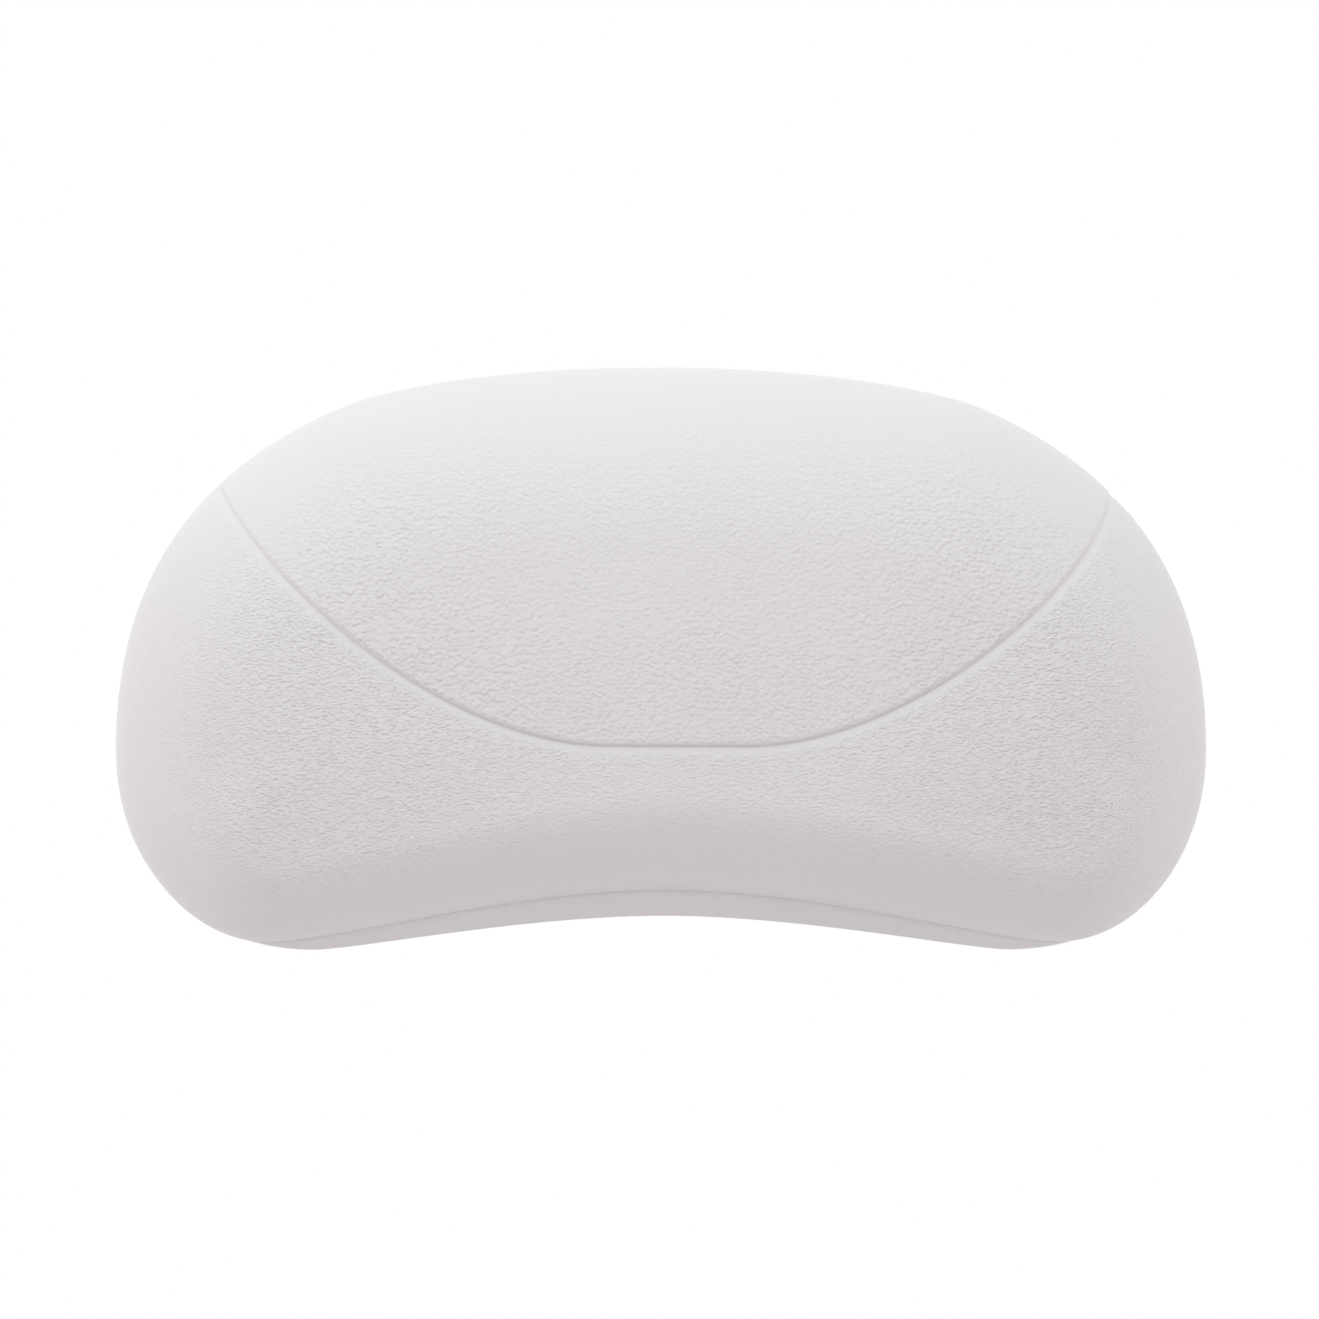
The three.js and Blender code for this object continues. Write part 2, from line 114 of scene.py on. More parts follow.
# Depth of the grain, as shares of the full depth
HEAD_GRAIN, HEAD_GRAIN_LOW, HEAD_GRAIN_OUT = 0.85, 0.5, 0.6
NECK_GRAIN, NECK_GRAIN_LOW, NECK_GRAIN_OUT = 0.72, 0.2, 0.38
EDGE_GRAIN = 0.2
BACK_GRAIN = 0.3
HEAD_EDGE_WIDTH = 0.6

# Wells, cups and fixings
CUP_SPACING = 160
CUP_STAND_OFF = 7
WELL_DIAMETER = 70
WELL_DEPTH = 10
WELL_MOUTH_ROUND = 1.6
WELL_FLOOR_ROUND = 1.2
HOLE_CHAMFER = 0.3
LIP_DIAMETER = 58
LIP_THICKNESS = 1
LIP_FLAT = 3
HOLLOW_DEPTH = 6.6
CUP_CROWN = 2.2
BOSS_DIAMETER = 19
BOSS_ROUND = 1.2
TAB_WIDTH = 10
TAB_LENGTH = 9
TAB_EDGE = 0.25
TAB_RIBS = 3
RIB_PITCH = 2
RIB_WIDTH = 1
RIB_HEIGHT = 0.6
RIB_EDGE = 0.2
STUD_DIAMETER = 5
THREAD_PITCH = 0.8
THREAD_DEPTH = 0.46
THREAD_FLANK, THREAD_CREST = 2.6, 0.15
THREAD_RUNOUT = 0.6
THREAD_COLLAR = 0.3
STUD_HEAD_DIAMETER = 12
STUD_HEAD_THICKNESS = 2.4
STUD_HEAD_CHAMFER = 0.25
STUD_TIP_CHAMFER = 0.7
STUD_PROUD = 1
WASHER_DIAMETER = 16
WASHER_THICKNESS = 1
WASHER_EDGE, WASHER_HOLE_EDGE = 0.2, 0.15
NUT_BARREL_DIAMETER = 8
NUT_FLANGE_DIAMETER = 19
NUT_FLANGE_THICKNESS = 1.5
BOARD_LENGTH = 216
BOARD_HEIGHT = 54
BOARD_THICKNESS = 4
FIT_GAP = 0.3

# Stations along Y
BACK_Y = -CUP_STAND_OFF
SEAM_Y = BACK_Y - REAR_DEPTH
CROWN_HEIGHT = CUSHION_DEPTH - REAR_DEPTH
WELL_FLOOR_Y = BACK_Y - WELL_DEPTH
WELL_FLOOR_FRONT_Y = WELL_FLOOR_Y - SKIN
BOARD_BACK_Y = WELL_FLOOR_FRONT_Y - FIT_GAP
BOARD_FRONT_Y = BOARD_BACK_Y - BOARD_THICKNESS
FLANGE_FRONT_Y = BOARD_FRONT_Y - FIT_GAP - NUT_FLANGE_THICKNESS
WASHER_FRONT_Y = WELL_FLOOR_Y + FIT_GAP
WASHER_BACK_Y = WASHER_FRONT_Y + WASHER_THICKNESS
BOSS_END_Y = WASHER_BACK_Y + FIT_GAP
STUD_TIP_Y = FLANGE_FRONT_Y - STUD_PROUD
HEAD_BACK_Y = -HOLLOW_DEPTH - CUP_CROWN - FIT_GAP
HEAD_FRONT_Y = HEAD_BACK_Y - STUD_HEAD_THICKNESS

# How finely the pieces are drawn
CURVE_SAMPLES = 1201
ROLL_SAMPLES = 900
SEARCH_BATCH = 3000
CHANNEL_SPACING = 0.3
CHANNEL_EASINGS = 6
NORMAL_STEP = 0.05
SEAM_ROWS = (0, 0.06, 0.16, 0.33, SEAM_ROUND, 1)
CHANNEL_ROWS = (-5, -3.4, -2.2, -1.5, -1.1, -0.85, -0.65, -0.47, -0.3, -0.15, -0.03, 0.1,
                0.25, 0.45, 0.7, 1, 1.35, 1.8, 2.4, 3.1, 4, 5)
FIELD_SPREAD = 1.5
FIELD_HALF_WIDTH, FIELD_HALF_HEIGHT = 180, 105
FIELD_OFF_CHANNEL, FIELD_OFF_SEAM, CHANNEL_OFF_SEAM = 5.8, 2, 1
ROLL_SHARES = (0.02, 0.1, 0.25, 0.5, 0.75, 1)
LEDGE_TURNS = (0, 8, 18, 28, 38, 48, 58, 68, 78, 90)
INSIDE_TURNS = (0, 45, 90)
EDGE_TURN, WELL_TURN = 10, 15
WELL_STEPS, CUP_STEPS, WASHER_STEPS, ROOM_STEPS = 144, 128, 96, 72
FOAM_STEPS, ROUND_END_STEPS = 260, 25
FLAT_EDGE_DEGREES, SKIN_EDGE_DEGREES, STUD_EDGE_DEGREES = 35, 50, 40


# Lines and places

def smooth(share):
    share = np.clip(share, 0, 1)
    return share * share * (3 - 2 * share)


def eased(value, start, width):
    """0 up to the start, 1 past the width, and a smooth rise between them."""
    return smooth((value - start) / width)


def placed(flat, y):
    """Places in space from X and Z, with one Y for all or a Y for each."""
    return np.column_stack([flat[:, 0], np.broadcast_to(y, len(flat)), flat[:, 1]])


def lengths_along(line):
    """How far along a line each of its points lies."""
    return np.concatenate([[0], np.cumsum(np.linalg.norm(np.diff(line, axis=0), axis=1))])


def bezier(corners, steps):
    """Evenly spaced points and directions on a cubic curve, without its last point."""
    a, b, c, d = (np.array(corner, float) for corner in corners)

    def at(share):
        return (a * (1 - share) ** 3 + 3 * b * share * (1 - share) ** 2
                + 3 * c * share ** 2 * (1 - share) + d * share ** 3)

    fine = np.linspace(0, 1, CURVE_SAMPLES)[:, None]
    length = lengths_along(at(fine))
    even = np.linspace(0, length[-1], steps + 1)[:-1]
    share = np.interp(even, length, fine[:, 0])[:, None]
    way = ((b - a) * (1 - share) ** 2 + 2 * (c - b) * share * (1 - share)
           + (d - c) * share ** 2)
    return at(share), way / np.linalg.norm(way, axis=1)[:, None]


def cushion_outline(lobe_share, lobe_low, arch_low, lobe_out_pull, lobe_in_pull):
    """Closed outline, clockwise from the top centre seen from the front, with the
    direction inward at each point."""
    top = np.array([0, TOP_HEIGHT])
    shoulder = np.array([HALF_WIDTH * SHOULDER_ACROSS, TOP_HEIGHT * SHOULDER_UP])
    flank = np.array([HALF_WIDTH, -WIDEST_DROP])
    lobe = np.array([HALF_WIDTH * lobe_share, -lobe_low])
    arch = np.array([0, -arch_low])
    slope = np.array([1, -SHOULDER_SLOPE]) / math.hypot(1, SHOULDER_SLOPE)
    rise = TOP_HEIGHT * SHOULDER_UP + WIDEST_DROP
    fall = lobe_low - WIDEST_DROP
    span = flank[0] - lobe[0]
    curves = [
        (top, (HALF_WIDTH * TOP_PULL, TOP_HEIGHT),
         shoulder - slope * HALF_WIDTH * SHOULDER_IN_PULL, shoulder),
        (shoulder, shoulder + slope * HALF_WIDTH * SHOULDER_OUT_PULL,
         flank + (0, rise * FLANK_UP_PULL), flank),
        (flank, flank - (0, fall * FLANK_DOWN_PULL), lobe + (span * lobe_out_pull, 0), lobe),
        (lobe, lobe * (1 - lobe_in_pull, 1), (lobe[0] * ARCH_PULL, -arch_low), arch),
    ]
    parts = [bezier(curve, steps) for curve, steps in zip(curves, OUTLINE_STEPS)]
    points = np.vstack([part[0] for part in parts] + [arch])
    way = np.vstack([part[1] for part in parts] + [(-1, 0)])
    inward = np.column_stack([way[:, 1], -way[:, 0]])
    mirror = (-1, 1)
    return {
        "points": np.vstack([points, points[-2:0:-1] * mirror]),
        "inward": np.vstack([inward, inward[-2:0:-1] * mirror]),
    }


FRONT = cushion_outline(FRONT_LOBE, LOBE_DEPTH - FRONT_LOBE_RISE,
                        LOBE_DEPTH - FRONT_LOBE_RISE - FRONT_ARCH_RISE,
                        FRONT_LOBE_OUT_PULL, FRONT_LOBE_IN_PULL)
BACK = cushion_outline(BACK_LOBE, LOBE_DEPTH, LOBE_DEPTH - BACK_ARCH_RISE,
                       BACK_LOBE_OUT_PULL, BACK_LOBE_IN_PULL)


def between(rows, index):
    """Rows of a closed list at places that may lie between its points."""
    low = np.floor(index).astype(int)
    share = (index - low)[:, None]
    return rows[low % len(rows)] * (1 - share) + rows[(low + 1) % len(rows)] * share


def nearest(line, points):
    """Where on a line of close, even points each point lies nearest to it."""
    found = np.empty(len(points))
    last = len(line) - 2
    for first in range(0, len(points), SEARCH_BATCH):
        some = points[first:first + SEARCH_BATCH]
        apart = ((some[:, 0, None] - line[None, :, 0]) ** 2
                 + (some[:, 1, None] - line[None, :, 1]) ** 2)
        here = np.clip(apart.argmin(1), 1, last)
        rows = np.arange(len(some))
        before, middle, after = (apart[rows, here + step] for step in (-1, 0, 1))
        shift = 0.5 * (before - after) / (before - 2 * middle + after)
        found[first:first + SEARCH_BATCH] = here + np.clip(shift, -1, 1)
    return found


CLOSED_FRONT = np.vstack([FRONT["points"], FRONT["points"][:1]])


def front_foot(points):
    """The outline's nearest place to each point: its index, its place, the direction
    inward there and how far inward the point lies."""
    index = nearest(CLOSED_FRONT, points)
    foot = between(FRONT["points"], index)
    inward = between(FRONT["inward"], index)
    return index, foot, inward, ((points - foot) * inward).sum(1)


def depth_inside(points):
    return front_foot(points)[3]


# Front of the cushion

def roll_at(height):
    """The edge rolls over tightly along the bottom and broadly at the sides and the top."""
    return BOTTOM_ROLL + (SIDE_ROLL - BOTTOM_ROLL) * smooth(
        (height + LOBE_DEPTH) / (LOBE_DEPTH - WIDEST_DROP))


def arch_fall(places):
    """How far the face falls back from its crown, at places given by X and Z."""
    return (CROWN_DROP * ((places[:, 1] - CROWN_CENTRE) / TOP_HEIGHT) ** 2
            + CROWN_SIDE_DROP * (places[:, 0] / HALF_WIDTH) ** 2)


def rise_over(inset):
    """Height of the roll, as a share, at a share of its width."""
    return np.sqrt(1 - (1 - inset) ** ROLL_EASE)


ROLL_INSETS = np.linspace(0, 1, ROLL_SAMPLES) ** 2
ROLL_LENGTHS = np.concatenate([[0], np.cumsum(np.hypot(
    np.diff(ROLL_INSETS) * SIDE_ROLL, np.diff(rise_over(ROLL_INSETS)) * CROWN_HEIGHT))])
ROLL_LENGTHS /= ROLL_LENGTHS[-1]


def front_ring(index, within, inset):
    """One ring of the front, a distance inside its outer face, at a share of the roll."""
    foot = between(FRONT["points"], index)
    roll = roll_at(foot[:, 1]) - within
    flat = foot + between(FRONT["inward"], index) * (within + roll * inset)[:, None]
    return placed(flat, SEAM_Y - (CROWN_HEIGHT - within - arch_fall(flat)) * rise_over(inset))


def front_face(points):
    """Places on the front of points of the skin laid out flat, seam and all."""
    _, foot, inward, depth = front_foot(points)
    roll = roll_at(foot[:, 1])
    share = np.clip((depth + WALL_SPARE) / (roll + WALL_SPARE), 0, 1)
    inset = np.interp(share, ROLL_LENGTHS, ROLL_INSETS)
    on_roll = (depth < roll)[:, None]
    flat = np.where(on_roll, foot + inward * (roll * inset)[:, None], points)
    rise = np.where(on_roll[:, 0], rise_over(inset), 1)
    return placed(flat, SEAM_Y - (CROWN_HEIGHT - arch_fall(flat)) * rise)


def laid_flat(places):
    """Points of the flat layout for places given by X and Z on the front."""
    _, foot, inward, inset = front_foot(places)
    roll = roll_at(foot[:, 1])
    share = np.interp(np.clip(inset / roll, 0, 1), ROLL_INSETS, ROLL_LENGTHS)
    depth = share * (roll + WALL_SPARE) - WALL_SPARE
    return np.where((inset < roll)[:, None], foot + inward * depth[:, None], places)


def channel_line():
    """The channel's edge on the flat layout, from its left end to its right end."""
    level_samples, curve_samples, past_samples, tail_samples = 40, 400, 60, 12
    past_reach, seam_margin = 12, 0.02
    tail_start, tail_end = 0.5, 6
    turn = math.radians(CHANNEL_END_DEGREES)
    way = np.array([math.cos(turn), math.sin(turn)])
    low = np.array([CHANNEL_FLAT_HALF, -CHANNEL_LOW_DROP])
    end = np.array([CHANNEL_END_REACH, CHANNEL_END_HEIGHT])
    curve, _ = bezier((low, low + (CHANNEL_LOW_PULL, 0), end - way * CHANNEL_END_PULL, end),
                      curve_samples)
    past = end + way * np.linspace(0, past_reach, past_samples)[:, None]
    past = past[depth_inside(past) > seam_margin]
    level = np.column_stack([np.linspace(0, CHANNEL_FLAT_HALF, level_samples)[:-1],
                             np.full(level_samples - 1, low[1])])
    right = laid_flat(np.vstack([level, curve, past]))
    tail_way = right[-1] - right[-2]
    tail = right[-1] + tail_way / np.linalg.norm(tail_way) * np.linspace(
        tail_start, tail_end, tail_samples)[:, None]
    right = np.vstack([right, tail])
    line = np.vstack([right[:0:-1] * (-1, 1), right])
    length = lengths_along(line)
    even = np.linspace(0, length[-1], round(length[-1] / CHANNEL_SPACING))
    return np.column_stack([np.interp(even, length, line[:, k]) for k in (0, 1)])


CHANNEL = channel_line()
CHANNEL_WAY = np.gradient(CHANNEL, axis=0)
for _ in range(CHANNEL_EASINGS):
    CHANNEL_WAY[1:-1] = (CHANNEL_WAY[:-2] + 2 * CHANNEL_WAY[1:-1] + CHANNEL_WAY[2:]) / 4
CHANNEL_WAY /= np.linalg.norm(CHANNEL_WAY, axis=1)[:, None]
CHANNEL_DOWN = np.column_stack([CHANNEL_WAY[:, 1], -CHANNEL_WAY[:, 0]])


def below_channel(points):
    """How far each point lies below the channel's edge; above it, the number is negative."""
    index = nearest(CHANNEL, points)
    low = np.clip(np.floor(index).astype(int), 0, len(CHANNEL) - 2)
    share = (index - low)[:, None]
    foot = CHANNEL[low] * (1 - share) + CHANNEL[low + 1] * share
    down = CHANNEL_DOWN[low] * (1 - share) + CHANNEL_DOWN[low + 1] * share
    return ((points - foot) * down).sum(1)


def channel_drop(points, below):
    """Depth under the face: a rounded lip above the line, a longer soft shoulder below it
    and a crevice between them along its level part."""
    lip = np.clip(1 + below / CHANNEL_LIP, 0, 1)
    shoulder = ((CHANNEL_DEPTH - NECK_STEP) * smooth(1 - below / CHANNEL_SHOULDER)
                + NECK_STEP * smooth(1 - below / NECK_STEP_WIDTH))
    crevice = (CREVICE_DEPTH * np.clip(1 - np.abs(below) / CREVICE_HALF, 0, 1)
               * smooth(CREVICE_FADE - np.abs(points[:, 0]) / CREVICE_REACH))
    return np.where(below <= 0, CHANNEL_DEPTH * lip ** CHANNEL_LIP_POWER, shoulder) + crevice


def neck_swell(points, below, depth):
    """How far the neck panel stands out past the dome of the front."""
    most = MIDDLE_SWELL + (LOBE_SWELL - MIDDLE_SWELL) * smooth(np.abs(points[:, 0]) / LOBE_REACH)
    across = 1 - (1 - np.clip(below / SWELL_WIDTH, 0, 1)) ** 2
    return most * across * smooth(depth / SWELL_EDGE)


def seam_drop(past_seam):
    """Depth under the face that rounds the skin's edge at the seam."""
    share = np.clip(1 - past_seam / SEAM_ROUND, 0, 1)
    return SEAM_ROUND * (1 - np.sqrt(1 - share ** 2))


def dressed_front(points):
    """The front face with its channel and its rounded seam edge."""
    place = front_face(points)
    across = front_face(points + (NORMAL_STEP, 0)) - place
    upward = front_face(points + (0, NORMAL_STEP)) - place
    outward = np.cross(across, upward)
    outward /= np.linalg.norm(outward, axis=1)[:, None]
    depth = depth_inside(points)
    below = below_channel(points)
    drop = (channel_drop(points, below) + seam_drop(depth + WALL_SPARE)
            - neck_swell(points, below, depth))
    return place - outward * drop[:, None]


def front_layout():
    """Points of the flat layout, the seam's loop first: rows along the seam and the
    channel, and an even field of points between them."""
    # Where the channel meets the seam, closer points take the place of the outline's own
    near_end, own_clear, close_reach, close_step = 20, 7, 7.5, 0.25
    ends = nearest(CLOSED_FRONT, np.array([CHANNEL[near_end], CHANNEL[-near_end]]))
    index = [i for i in range(len(FRONT["points"]))
             if min(abs(i - end) for end in ends) > own_clear]
    for end in ends:
        index += list(end + np.arange(-close_reach, close_reach + close_step / 2, close_step))
    index = np.array(sorted(index))
    feet = between(FRONT["points"], index)
    inward = between(FRONT["inward"], index)
    rows = [feet - inward * (WALL_SPARE - past) for past in SEAM_ROWS]
    beside = np.vstack([CHANNEL[::3] + CHANNEL_DOWN[::3] * below for below in CHANNEL_ROWS])
    across = np.arange(-FIELD_HALF_WIDTH, FIELD_HALF_WIDTH, FIELD_SPREAD)
    upward = np.arange(-FIELD_HALF_HEIGHT, FIELD_HALF_HEIGHT, FIELD_SPREAD * math.sqrt(3) / 2)
    field = np.array([(x + (row % 2) * FIELD_SPREAD / 2, z)
                      for row, z in enumerate(upward) for x in across])
    field = field[depth_inside(field) > FIELD_OFF_SEAM - WALL_SPARE]
    field = field[np.abs(below_channel(field)) > FIELD_OFF_CHANNEL]
    beside = beside[depth_inside(beside) > CHANNEL_OFF_SEAM - WALL_SPARE]
    return index, np.vstack(rows + [beside, field])


def triangles(points, loops):
    """Triangles over flat points, inside the first loop and outside the others."""
    edges = []
    for loop in loops:
        edges += [(a, b) for a, b in zip(loop, loop[1:] + loop[:1])]
    flat = [Vector(point) for point in points]
    output_kind, tolerance = 4, 1e-6
    _, _, faces, sources, _, _ = delaunay_2d_cdt(flat, edges, [], output_kind, tolerance)
    source = [(ids[0] if ids else None) for ids in sources]
    if None in source:
        raise ValueError("the triangles need a point that the rows lack")
    hole_of = {number: hole for hole, loop in enumerate(loops[1:]) for number in loop}
    made_faces = [tuple(source[corner] for corner in face) for face in faces]
    return [face for face in made_faces
            if face[0] not in hole_of or len({hole_of.get(number) for number in face}) > 1]


# Meshes

def make_piece(name, points, faces, marks=None, flat_edge_degrees=None):
    """A mesh object from points in millimetres, with its faces turned outward."""
    mesh = bpy.data.meshes.new(name)
    mesh.from_pydata((np.asarray(points) * MM).tolist(), [], faces)
    for mark, values in (marks or {}).items():
        layer = mesh.attributes.new(mark, "FLOAT", "POINT")
        layer.data.foreach_set("value", np.asarray(values, np.float32))
    built = bmesh.new()
    built.from_mesh(mesh)
    bmesh.ops.recalc_face_normals(built, faces=built.faces)
    built.to_mesh(mesh)
    built.free()
    mesh.shade_smooth()
    if flat_edge_degrees:
        mesh.set_sharp_from_angle(angle=math.radians(flat_edge_degrees))
    piece = bpy.data.objects.new(name, mesh)
    bpy.context.scene.collection.objects.link(piece)
    return piece


class Rings:
    """Rings of points joined into one closed skin."""

    def __init__(self):
        self.points = []
        self.faces = []

    def ring(self, places):
        first = len(self.points)
        self.points += [tuple(place) for place in places]
        return list(range(first, len(self.points)))

    def join(self, rings):
        for first, second in zip(rings, rings[1:]):
            count = len(first)
            self.faces += [(first[i], first[(i + 1) % count], second[(i + 1) % count],
                            second[i]) for i in range(count)]

    def fan(self, ring, place):
        self.points.append(tuple(place))
        hub = len(self.points) - 1
        self.faces += [(ring[i], ring[(i + 1) % len(ring)], hub) for i in range(len(ring))]

    def plate_with_holes(self, outer, holes):
        numbers = outer + [number for hole in holes for number in hole]
        spot = {number: k for k, number in enumerate(numbers)}
        flat = [(self.points[n][0], self.points[n][2]) for n in numbers]
        loops = [[spot[n] for n in loop] for loop in [outer, *holes]]
        self.faces += [tuple(numbers[corner] for corner in face)
                       for face in triangles(flat, loops)]


def front_cushion():
    """The front skin: the channelled outer face, the cut edge at the seam and the inside."""
    index, layout = front_layout()
    loop = list(range(len(index)))
    outer = dressed_front(layout)
    skin = Rings()
    skin.ring(outer)
    skin.faces += triangles(layout, [loop])
    inner = [skin.ring(front_ring(index, SKIN, np.full(len(index), inset)))
             for inset in (0, *ROLL_SHARES)]
    skin.join([loop, *inner])
    rim = np.array([skin.points[n] for n in inner[-1]])
    shrunk = []
    for share in (0.7, 0.4):
        flat = rim[:, (0, 2)] * share + np.array([0, CROWN_CENTRE]) * (1 - share)
        shrunk.append(skin.ring(placed(flat, SEAM_Y - (CROWN_HEIGHT - SKIN - arch_fall(flat)))))
    skin.join([inner[-1], *shrunk])
    skin.fan(shrunk[-1], (0, SEAM_Y - CROWN_HEIGHT + SKIN, CROWN_CENTRE))
    depth = depth_inside(layout)
    below = below_channel(layout)
    clear = np.where(below < 0, eased(-below, start=0.2, width=1.6),
                     eased(below, start=0.9, width=1.7))
    # The grain is deepest low and outward on the head panel, and in the two lobes
    aside, height = np.abs(layout[:, 0]), layout[:, 1]
    head_grain = (HEAD_GRAIN + HEAD_GRAIN_LOW * eased(-height, start=-30, width=40)
                  + HEAD_GRAIN_OUT * eased(aside, start=30, width=60))
    neck_grain = (NECK_GRAIN + NECK_GRAIN_OUT * eased(aside, start=0, width=90)
                  + NECK_GRAIN_LOW * eased(-height, start=30, width=25))
    grain = (clear * np.where(below < 0, head_grain, neck_grain)
             * (EDGE_GRAIN + (1 - EDGE_GRAIN) * eased(depth, start=-5, width=50)))
    head = smooth(0.5 - below / HEAD_EDGE_WIDTH)
    spare = len(skin.points) - len(layout)
    marks = {"grain": np.append(grain, np.zeros(spare)), "head": np.append(head, np.zeros(spare))}
    return make_piece("front_cushion", skin.points, skin.faces, marks)


def back_ring(index, y, inset):
    return placed(between(BACK["points"], index) + between(BACK["inward"], index) * inset, y)


def ledge_rings(index, front_y, within, seam_inset, turns):
    """The ledge that stands out past the front along the bottom edge."""
    seam = between(FRONT["points"], index) + between(FRONT["inward"], index) * (
        within + seam_inset)
    edge = between(BACK["points"], index) + between(BACK["inward"], index) * within
    rings = []
    for degrees in turns:
        turn = math.radians(degrees)
        flat = seam * (1 - math.sin(turn)) + edge * math.sin(turn)
        rings.append(placed(flat, front_y + LEDGE_ROUND * (1 - math.cos(turn))))
    return rings


def circle(x, radius, y, steps):
    """A ring about a cup's axis."""
    turn = np.linspace(0, 2 * math.pi, steps, endpoint=False)
    return np.column_stack([x + radius * np.cos(turn), np.full(steps, y), radius * np.sin(turn)])


CUP_PLACES = {"left": -CUP_SPACING / 2, "right": CUP_SPACING / 2}


def back_cushion():
    """The back skin: ledge, flat back, two wells with rounded mouths, and the inside."""
    index = np.arange(len(FRONT["points"]), dtype=float)
    front_y = SEAM_Y + SEAM_GAP
    skin = Rings()
    rolled = ledge_rings(index, front_y, 0, SEAM_ROUND, LEDGE_TURNS)
    edge = [back_ring(index, BACK_Y - BACK_EDGE_ROUND * (1 - math.sin(math.radians(turn))),
                      BACK_EDGE_ROUND * (1 - math.cos(math.radians(turn))))
            for turn in range(0, 91, EDGE_TURN)]
    outer = [skin.ring(ring) for ring in [*rolled, *edge]]
    skin.join(outer)
    radius = WELL_DIAMETER / 2
    mouths, jackets = [], []
    for x in CUP_PLACES.values():
        profile = []
        for turn in range(90, -1, -WELL_TURN):
            bend = math.radians(turn)
            profile.append((radius + WELL_MOUTH_ROUND * (1 - math.cos(bend)),
                            BACK_Y - WELL_MOUTH_ROUND * (1 - math.sin(bend))))
        for turn in range(0, 91, WELL_TURN):
            bend = math.radians(turn)
            profile.append((radius - WELL_FLOOR_ROUND * (1 - math.cos(bend)),
                            WELL_FLOOR_Y + WELL_FLOOR_ROUND * (1 - math.sin(bend))))
        hole = NUT_BARREL_DIAMETER / 2 + FIT_GAP
        profile += [(radius / 2, WELL_FLOOR_Y), (hole + HOLE_CHAMFER, WELL_FLOOR_Y),
                    (hole, WELL_FLOOR_Y - HOLE_CHAMFER), (hole, WELL_FLOOR_FRONT_Y),
                    (radius + SKIN, WELL_FLOOR_FRONT_Y), (radius + SKIN, BACK_Y - SKIN)]
        rings = [skin.ring(circle(x, r, y, WELL_STEPS)) for r, y in profile]
        skin.join(rings)
        mouths.append(rings[0])
        jackets.append(rings[-1])
    skin.plate_with_holes(outer[-1], mouths)
    round_inside = BACK_EDGE_ROUND - SKIN
    inside = [
        back_ring(index, BACK_Y - SKIN, SKIN + round_inside),
        back_ring(index, BACK_Y - SKIN - round_inside / 3, SKIN + round_inside / 3),
        back_ring(index, BACK_Y - SKIN - round_inside, SKIN),
        *reversed(ledge_rings(index, front_y + SKIN, SKIN, 0, INSIDE_TURNS)),
    ]
    inner = [skin.ring(ring) for ring in inside]
    seam = between(FRONT["points"], index) + between(FRONT["inward"], index) * SKIN
    inner.append(skin.ring(placed(seam, front_y)))
    skin.join([*inner, outer[0]])
    skin.plate_with_holes(inner[0], jackets)
    places = np.array(skin.points)
    # The grain fades to half its depth on the ledge
    marks = {
        "grain": BACK_GRAIN + BACK_GRAIN * eased(places[:, 1] - front_y, start=3, width=6),
        "head": np.zeros(len(places)),
    }
    return make_piece("back_cushion", skin.points, skin.faces, marks, SKIN_EDGE_DEGREES)


def turned_part(name, x, profile, steps):
    """A closed part turned about the cup's axis, from (radius, y) points."""
    part = Rings()
    loops = []
    hubs = []
    for radius, y in profile:
        if radius < 1e-6:
            hubs.append((len(loops), y))
        else:
            loops.append(part.ring(circle(x, radius, y, steps)))
    part.join(loops)
    if hubs:
        for position, y in hubs:
            part.fan(loops[0] if position == 0 else loops[-1], (x, y, 0))
    else:
        part.join([loops[-1], loops[0]])
    return make_piece(name, part.points, part.faces, None, FLAT_EDGE_DEGREES)


def rounded(corner_radius, corner_y, radius, start, end, steps):
    """Points of a rounded edge about a centre, between two angles from the Y axis."""
    return [(corner_radius + radius * math.sin(math.radians(a)),
             corner_y + radius * math.cos(math.radians(a)))
            for a in np.linspace(start, end, steps)]


def curve_pairs(corners, steps):
    points, _ = bezier(corners, steps)
    return [tuple(point) for point in points] + [tuple(corners[-1])]


def joined(piece, tool, operation):
    """The piece with the tool added to it or cut from it, as one closed mesh."""
    change = piece.modifiers.new("joined", "BOOLEAN")
    change.object = tool
    change.operation = operation
    change.solver = "EXACT"
    bpy.context.view_layer.update()
    seen = piece.evaluated_get(bpy.context.evaluated_depsgraph_get())
    mesh = bpy.data.meshes.new_from_object(seen)
    piece.modifiers.clear()
    piece.data = mesh
    bpy.data.objects.remove(tool)
    return piece


